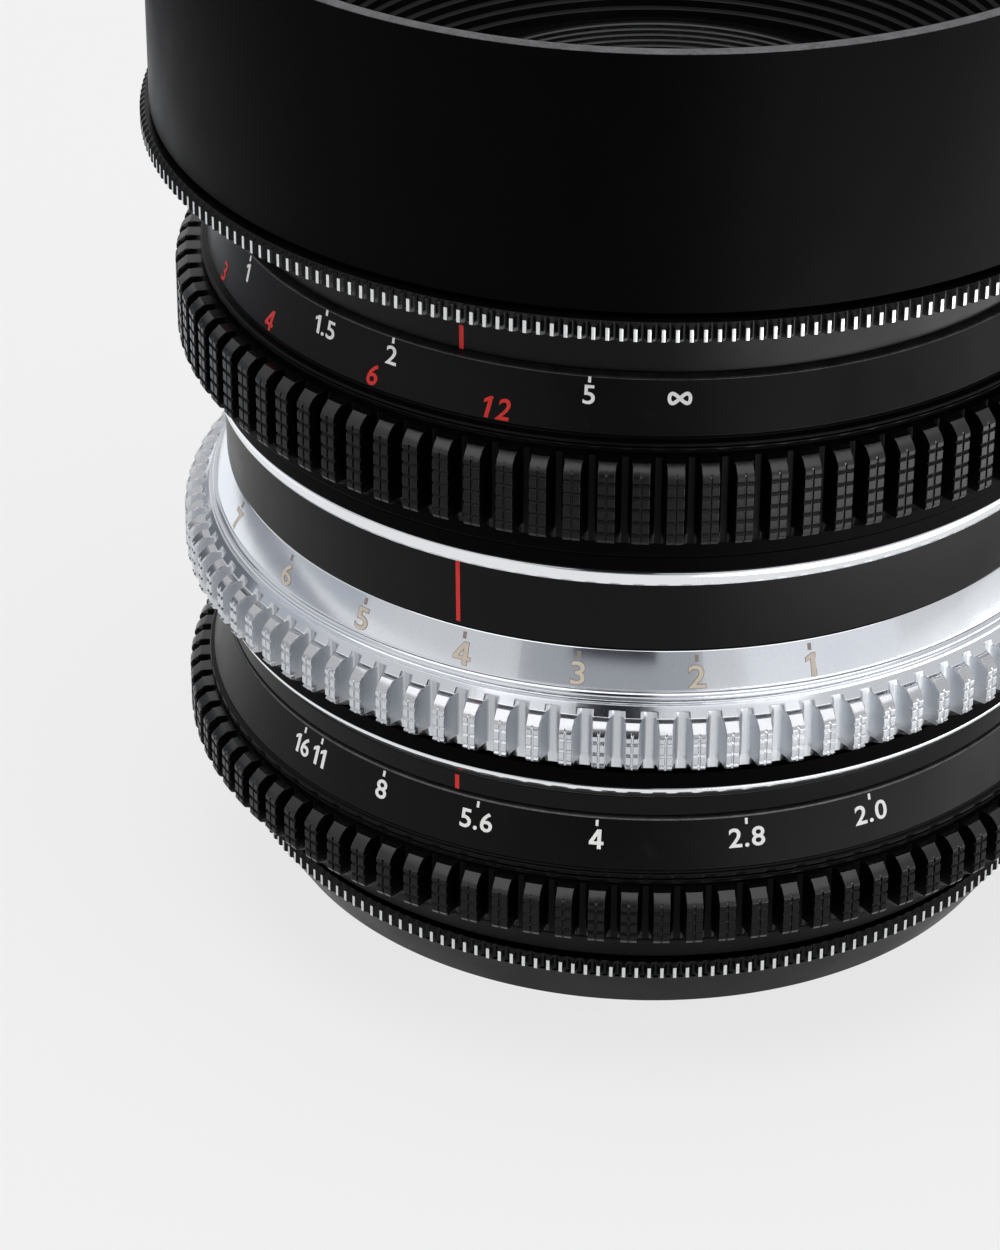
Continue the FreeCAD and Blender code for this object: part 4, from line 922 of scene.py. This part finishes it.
def rear_taper():
    """The tapered rear barrel."""
    return lathe("rear_taper", [
        (29.0, REAR_BOTTOM), (31.3, REAR_BOTTOM), (33.95, REAR_KNURL_BOTTOM),
        (REAR_KNURL_BORE, REAR_KNURL_BOTTOM), (REAR_KNURL_BORE, REAR_TOP), (BARREL_BORE, REAR_TOP),
        (BARREL_BORE, REAR_KNURL_BOTTOM), (21.8, REAR_KNURL_BOTTOM), (21.8, 2.0), (29.0, 2.0),
    ])


UPPER_BEVEL = [(35.14, UPPER_BEVEL_BOTTOM), (35.34, 41.16), (35.44, 41.4), (35.48, 41.7), (35.48, 42.0),
               (35.44, 42.22), (35.3, UPPER_BEVEL_TOP)]
LOWER_BEVEL = [(34.98, LOWER_BEVEL_BOTTOM), (35.05, 22.08), (35.55, 22.58), (35.72, 22.8), (35.8, 23.0),
               (35.8, 23.18), (35.74, LOWER_BEVEL_TOP)]
# Slot 3 in both sets, below the teeth, is the darker black of painted shade.
BLACK_TEETH = (BLACK_BAND, BLACK_SPACE, BLACK_GEAR, BLACK_WITH_PAINTED_SHADE, WORN_EDGE, BLACK_SHOULDER)
BRIGHT_TEETH = (POLISHED, SPACE_ALUMINIUM, GEAR_ALUMINIUM, BLACK_WITH_PAINTED_SHADE, BRIGHT_CUT, SHOULDER_ALUMINIUM)

dress(hood_shell(), "front_shell", BLACK_SHELL, WORN_EDGE)
dress(knurled("hood_knurled_ring", SEAT_RADIUS, FRONT_KNURL_RADIUS, FRONT_KNURL_BOTTOM, FRONT_KNURL_TOP,
              count=255, land=0.13, depth=0.42, slope=0.42),
      "front_knurled_ring", BLACK_GEAR, RIB_METAL_AND_HIGHLIGHT)
dress(front_index_band(), "front_barrel", BLACK_BARREL)
dress(hood_baffle(), "ridged_baffle", MATTE)
dress(front_glass_ring(), "front_retaining_ring", MATTE_RIDGES)
dress(focus_ring(), "focus_gear_ring", *BLACK_TEETH)
# The recessed collars take the darker black of painted shade.
dress(black_collar("upper_black_collar", UPPER_BEVEL_TOP, MIDDLE_TOP, 35.7), "upper_collar", BLACK_WITH_PAINTED_SHADE)
dress(bevel_ring("upper_bevel_ring", UPPER_BEVEL), "upper_bright_ring", BRIGHT_CUT)
dress(index_band("middle_index_band", MIDDLE_BAND, MIDDLE_TOP), "middle_barrel", BLACK_BARREL)
dress(bokeh_ring(), "bokeh_gear_ring", *BRIGHT_TEETH)
dress(black_collar("lower_black_collar", LOWER_BEVEL_TOP, 24.85, 36.0), "lower_collar", BLACK_WITH_PAINTED_SHADE)
dress(bevel_ring("lower_bevel_ring", LOWER_BEVEL), "lower_bright_ring", BRIGHT_CUT)
dress(index_band("rear_index_band", REAR_BAND, REAR_INDEX_TOP), "rear_index_ring", BLACK_BARREL)
dress(aperture_ring(), "aperture_gear_ring", *BLACK_TEETH)
dress(knurled("rear_knurled_band", REAR_KNURL_BORE, REAR_KNURL_RADIUS, REAR_KNURL_BOTTOM, REAR_KNURL_TOP,
              count=212, land=0.13, depth=0.4, slope=0.4),
      "rear_knurled_ring", BLACK_GEAR, RIB_METAL_AND_HIGHLIGHT)
dress(rear_taper(), "rear_barrel", BLACK)


# scales and index lines, each number with its angle from the index line

FOCUS_WHITE = (("1", -38.4), ("1.5", -20.25), ("2", -9.15), ("5", 16.85), ("0.7", -56.0), ("0.5", -72.0))
FOCUS_RED = (("3", -45.6), ("4", -30.95), ("6", -11.55), ("12", 5.7), ("2", -62.0))
INFINITY_ANGLE = 27.75
BOKEH_NUMBERS = (("7", -44.25), ("6", -28.75), ("5", -14.05), ("4", 1.02), ("3", 16.05), ("2", 30.75),
                 ("1", 45.25))
APERTURE_STOPS = (("16", -25.55), ("11", -22.05), ("8", -10.85), ("5.6", 3.15), ("4", 18.75),
                  ("2.8", 37.65), ("2.0", 54.55))


def focus_scale():
    """White distances with their ticks, and slanted red ones below them."""
    white, red = Marks("focus_scale_white"), Marks("focus_scale_red")
    for number, angle in FOCUS_WHITE:
        white.text(number, FOCUS_BAND, angle, 57.0, 1.38, bold=0.012)
        white.bar(FOCUS_BAND, angle, 57.9, 58.34, 0.22)
    white.infinity(FOCUS_BAND, INFINITY_ANGLE, 56.97, 1.84, 0.99, 0.27)
    white.piece(WHITE_PAINT, "focus_ring")
    for number, angle in FOCUS_RED:
        red.text(number, FOCUS_BAND, angle, 55.1, 1.6, bold=0.014, slant=0.2, wide=1.0)
    red.piece(RED_PAINT, "focus_ring")


def bokeh_scale():
    """Tan numbers, each in a darker tan rim that paints the shade of its engraving, with darker tan ticks
    above them.
    """
    shade_and_ticks, fills = Marks("bokeh_scale_shade_and_ticks"), Marks("bokeh_scale_tan")
    for number, angle in BOKEH_NUMBERS:
        shade_and_ticks.text(number, BOKEH_BAND, angle, 33.12, 1.68, proud=0.015, bold=0.03, wide=1.24)
        fills.text(number, BOKEH_BAND, angle, 33.12, 1.68, proud=0.03, bold=0.006, wide=1.24)
        shade_and_ticks.bar(BOKEH_BAND, angle, 34.22, 34.72, 0.3, proud=0.015)
    shade_and_ticks.piece(TAN_SHADE_AND_TICKS, "bokeh_ring")
    fills.piece(TAN_PAINT, "bokeh_ring")


def aperture_scale():
    """White stops with their ticks."""
    white = Marks("aperture_scale_white")
    for number, angle in APERTURE_STOPS:
        white.text(number, APERTURE_BAND, angle, 18.3, 1.46, bold=0.014)
        white.bar(APERTURE_BAND, angle, 19.32, 19.78, 0.22)
    white.piece(WHITE_PAINT, "aperture_ring")


def index_lines():
    """The three red lines that the scales are read against."""
    lines = Marks("index_lines")
    lines.bar(NECK_BAND, 0.0, 58.62, 60.6, 0.36)
    lines.bar(MIDDLE_BAND, 0.0, 35.5, 40.87, 0.34)
    lines.bar(REAR_BAND, 0.0, 20.35, 21.65, 0.36)
    lines.piece(RED_PAINT, "barrel")


focus_scale()
bokeh_scale()
aperture_scale()
index_lines()


# stage, light and camera

BACKGROUND = (0.871, 0.871, 0.871, 1)
DIFFUSE_SKY = (0.35, 0.35, 0.35, 1)
GLOSS_SKY = (0.66, 0.6633, 0.6732, 1)
FLOOR_COLOUR = (0.86, 0.86, 0.86, 1)
FLOOR_HEIGHT = -0.00363
FLOOR_SIDE = 8.0
FLOOR_GLOW = 0.85
CARD_LIFT = 0.001
AIM = Vector((0.0, 0.0, 0.045))
CAMERA_AZIMUTH = -66.1
CAMERA_PLACE = (0.1327863, -0.2996493, 0.2143827)
CAMERA_HEADING = 116.04584
CAMERA_DIP = 31.16546
CAMERA_ROLL = 0.21784
CAMERA_LENS = 130.5643
CAMERA_NEAR = 0.01


def calculated(nodes, links, operation, first, second):
    """The result of a maths node fed by an output and by another output or a number."""
    maths = nodes.new("ShaderNodeMath")
    maths.operation = operation
    links.new(first, maths.inputs[0])
    if isinstance(second, float):
        maths.inputs[1].default_value = second
    else:
        links.new(second, maths.inputs[1])
    return maths.outputs[0]


def mixed(nodes, links, share, first, second):
    """The first shader, with a share of the second."""
    mix = nodes.new("ShaderNodeMixShader")
    for socket, output in zip(mix.inputs, (share, first, second)):
        links.new(output, socket)
    return mix.outputs[0]


def glowing(nodes, kind, colour):
    """The output of a world background or an emission of one colour."""
    node = nodes.new(kind)
    node.inputs["Color"].default_value = colour
    return node.outputs[0]


def studio_world():
    """Pale grey to the camera, with its own levels for soft light and for reflections."""
    world = bpy.data.worlds.new("studio")
    bpy.context.scene.world = world
    world.use_nodes = True
    nodes, links = world.node_tree.nodes, world.node_tree.links
    nodes.clear()
    ray = nodes.new("ShaderNodeLightPath").outputs
    soft = glowing(nodes, "ShaderNodeBackground", DIFFUSE_SKY)
    seen = glowing(nodes, "ShaderNodeBackground", BACKGROUND)
    mirrored = glowing(nodes, "ShaderNodeBackground", GLOSS_SKY)
    straight = calculated(nodes, links, "MAXIMUM", ray["Is Camera Ray"], ray["Is Transmission Ray"])
    unseen = mixed(nodes, links, ray["Is Glossy Ray"], soft, mirrored)
    sky = mixed(nodes, links, straight, unseen, seen)
    links.new(sky, nodes.new("ShaderNodeOutputWorld").inputs[0])


def floor_material():
    """Pale paper that takes shadows and otherwise nears the background's colour."""
    material, nodes, links = shader("pale_floor")
    nodes.clear()
    ray = nodes.new("ShaderNodeLightPath").outputs
    paper = glowing(nodes, "ShaderNodeBsdfDiffuse", FLOOR_COLOUR)
    glow = glowing(nodes, "ShaderNodeEmission", BACKGROUND)
    seen = calculated(nodes, links, "MULTIPLY", ray["Is Camera Ray"], FLOOR_GLOW)
    mirrored = calculated(nodes, links, "MAXIMUM", ray["Is Glossy Ray"], ray["Is Transmission Ray"])
    share = calculated(nodes, links, "MAXIMUM", seen, mirrored)
    surface = mixed(nodes, links, share, paper, glow)
    links.new(surface, nodes.new("ShaderNodeOutputMaterial").inputs[0])
    return material


def plane(name, width, height, material, top_share=1.0):
    """A flat piece of the stage. top_share narrows its upper edge."""
    mesh = bpy.data.meshes.new(name)
    right, top = width / 2, height / 2
    corners = [(-right, -top, 0), (right, -top, 0), (right * top_share, top, 0), (-right * top_share, top, 0)]
    mesh.from_pydata(corners, [], [(0, 1, 2, 3)])
    mesh.materials.append(material)
    piece = linked(name, mesh)
    return piece


def facing(azimuth, elevation, distance):
    """A place round the lens from the camera's side, and the turn that faces it from there."""
    round_z, up = math.radians(CAMERA_AZIMUTH + azimuth), math.radians(elevation)
    level = math.cos(up)
    direction = Vector((math.cos(round_z) * level, math.sin(round_z) * level, math.sin(up)))
    turn = direction.to_track_quat("Z", "Y").to_matrix().to_4x4()
    return Matrix.Translation(AIM + direction * distance) @ turn


def on_floor(azimuth, distance):
    """A place on the floor, with the card's width running round the lens."""
    round_z = math.radians(CAMERA_AZIMUTH + azimuth)
    x, y = math.cos(round_z) * distance, math.sin(round_z) * distance
    place = Vector((x, y, FLOOR_HEIGHT + CARD_LIFT))
    return Matrix.Translation(place) @ Matrix.Rotation(round_z + math.pi / 2, 4, "Z")


def softbox(name, azimuth, elevation, distance, width, height, radiance):
    """A lamp that stays out of the reflections."""
    lamp = bpy.data.lights.new(name, "AREA")
    lamp.shape = "RECTANGLE"
    lamp.size, lamp.size_y = width, height
    lamp.energy = radiance * math.pi * width * height
    holder = linked(name, lamp)
    holder.matrix_world = facing(azimuth, elevation, distance)
    holder.visible_glossy = False


def card(name, place, width, height, tone, top_share=1.0):
    """A plain card that only shows in reflections."""
    material, nodes, links = shader(name)
    nodes.clear()
    glow = glowing(nodes, "ShaderNodeEmission", (*tone, 1))
    links.new(glow, nodes.new("ShaderNodeOutputMaterial").inputs[0])
    sheet = plane(name, width, height, material, top_share)
    sheet.matrix_world = place
    sheet.visible_camera = sheet.visible_diffuse = sheet.visible_shadow = sheet.visible_transmission = False


def photograph_camera():
    """The camera at the photograph's place."""
    camera = linked("camera", bpy.data.cameras.new("camera"))
    camera.data.lens = CAMERA_LENS
    camera.data.clip_start = CAMERA_NEAR
    place = Matrix.Translation(CAMERA_PLACE)
    for degrees, axis in (CAMERA_HEADING - 90, "Z"), (90 - CAMERA_DIP, "X"), (CAMERA_ROLL, "Z"):
        place = place @ Matrix.Rotation(math.radians(degrees), 4, axis)
    camera.matrix_world = place
    bpy.context.scene.camera = camera


studio_world()
plane("studio_floor", FLOOR_SIDE, FLOOR_SIDE, floor_material()).location.z = FLOOR_HEIGHT

softbox("overhead_softbox", 0, 84, 0.8, 1.3, 1.3, 1.7)
softbox("left_softbox", -82, 20, 0.9, 0.5, 0.7, 1.0)
softbox("right_softbox", 48, 20, 0.9, 0.74, 0.7, 1.0)

card("ceiling_card", facing(0, 84, 0.82), 1.3, 1.3, (1.48, 1.48, 1.5))
card("right_card", facing(44, 10, 0.9), 0.66, 0.6, (0.80, 0.81, 0.84))
card("left_card", facing(-97, 8, 0.9), 0.84, 0.5, (0.47, 0.49, 0.53))
card("front_flag", facing(-7.5, 28, 0.66), 0.28, 0.84, (0.012, 0.014, 0.02), 0.5)
card("front_flag_edge", facing(-8, 8, 0.7), 0.55, 0.40, (0.38, 0.39, 0.41))
card("left_flag", facing(-122, 6, 0.7), 0.34, 0.36, (0.16, 0.17, 0.19))
card("right_floor_card", on_floor(56, 0.155), 0.22, 0.10, (6.4, 6.4, 6.4))
card("left_floor_card", on_floor(-125, 0.135), 0.24, 0.07, (1.0, 1.02, 1.06))
card("left_floor_flag", on_floor(-124, 0.39), 0.56, 0.4, (0.3, 0.31, 0.34))
card("front_floor_flag", on_floor(-5, 0.48), 0.2, 0.4, (0.02, 0.02, 0.024))

photograph_camera()
bpy.context.scene.view_settings.view_transform = "Standard"
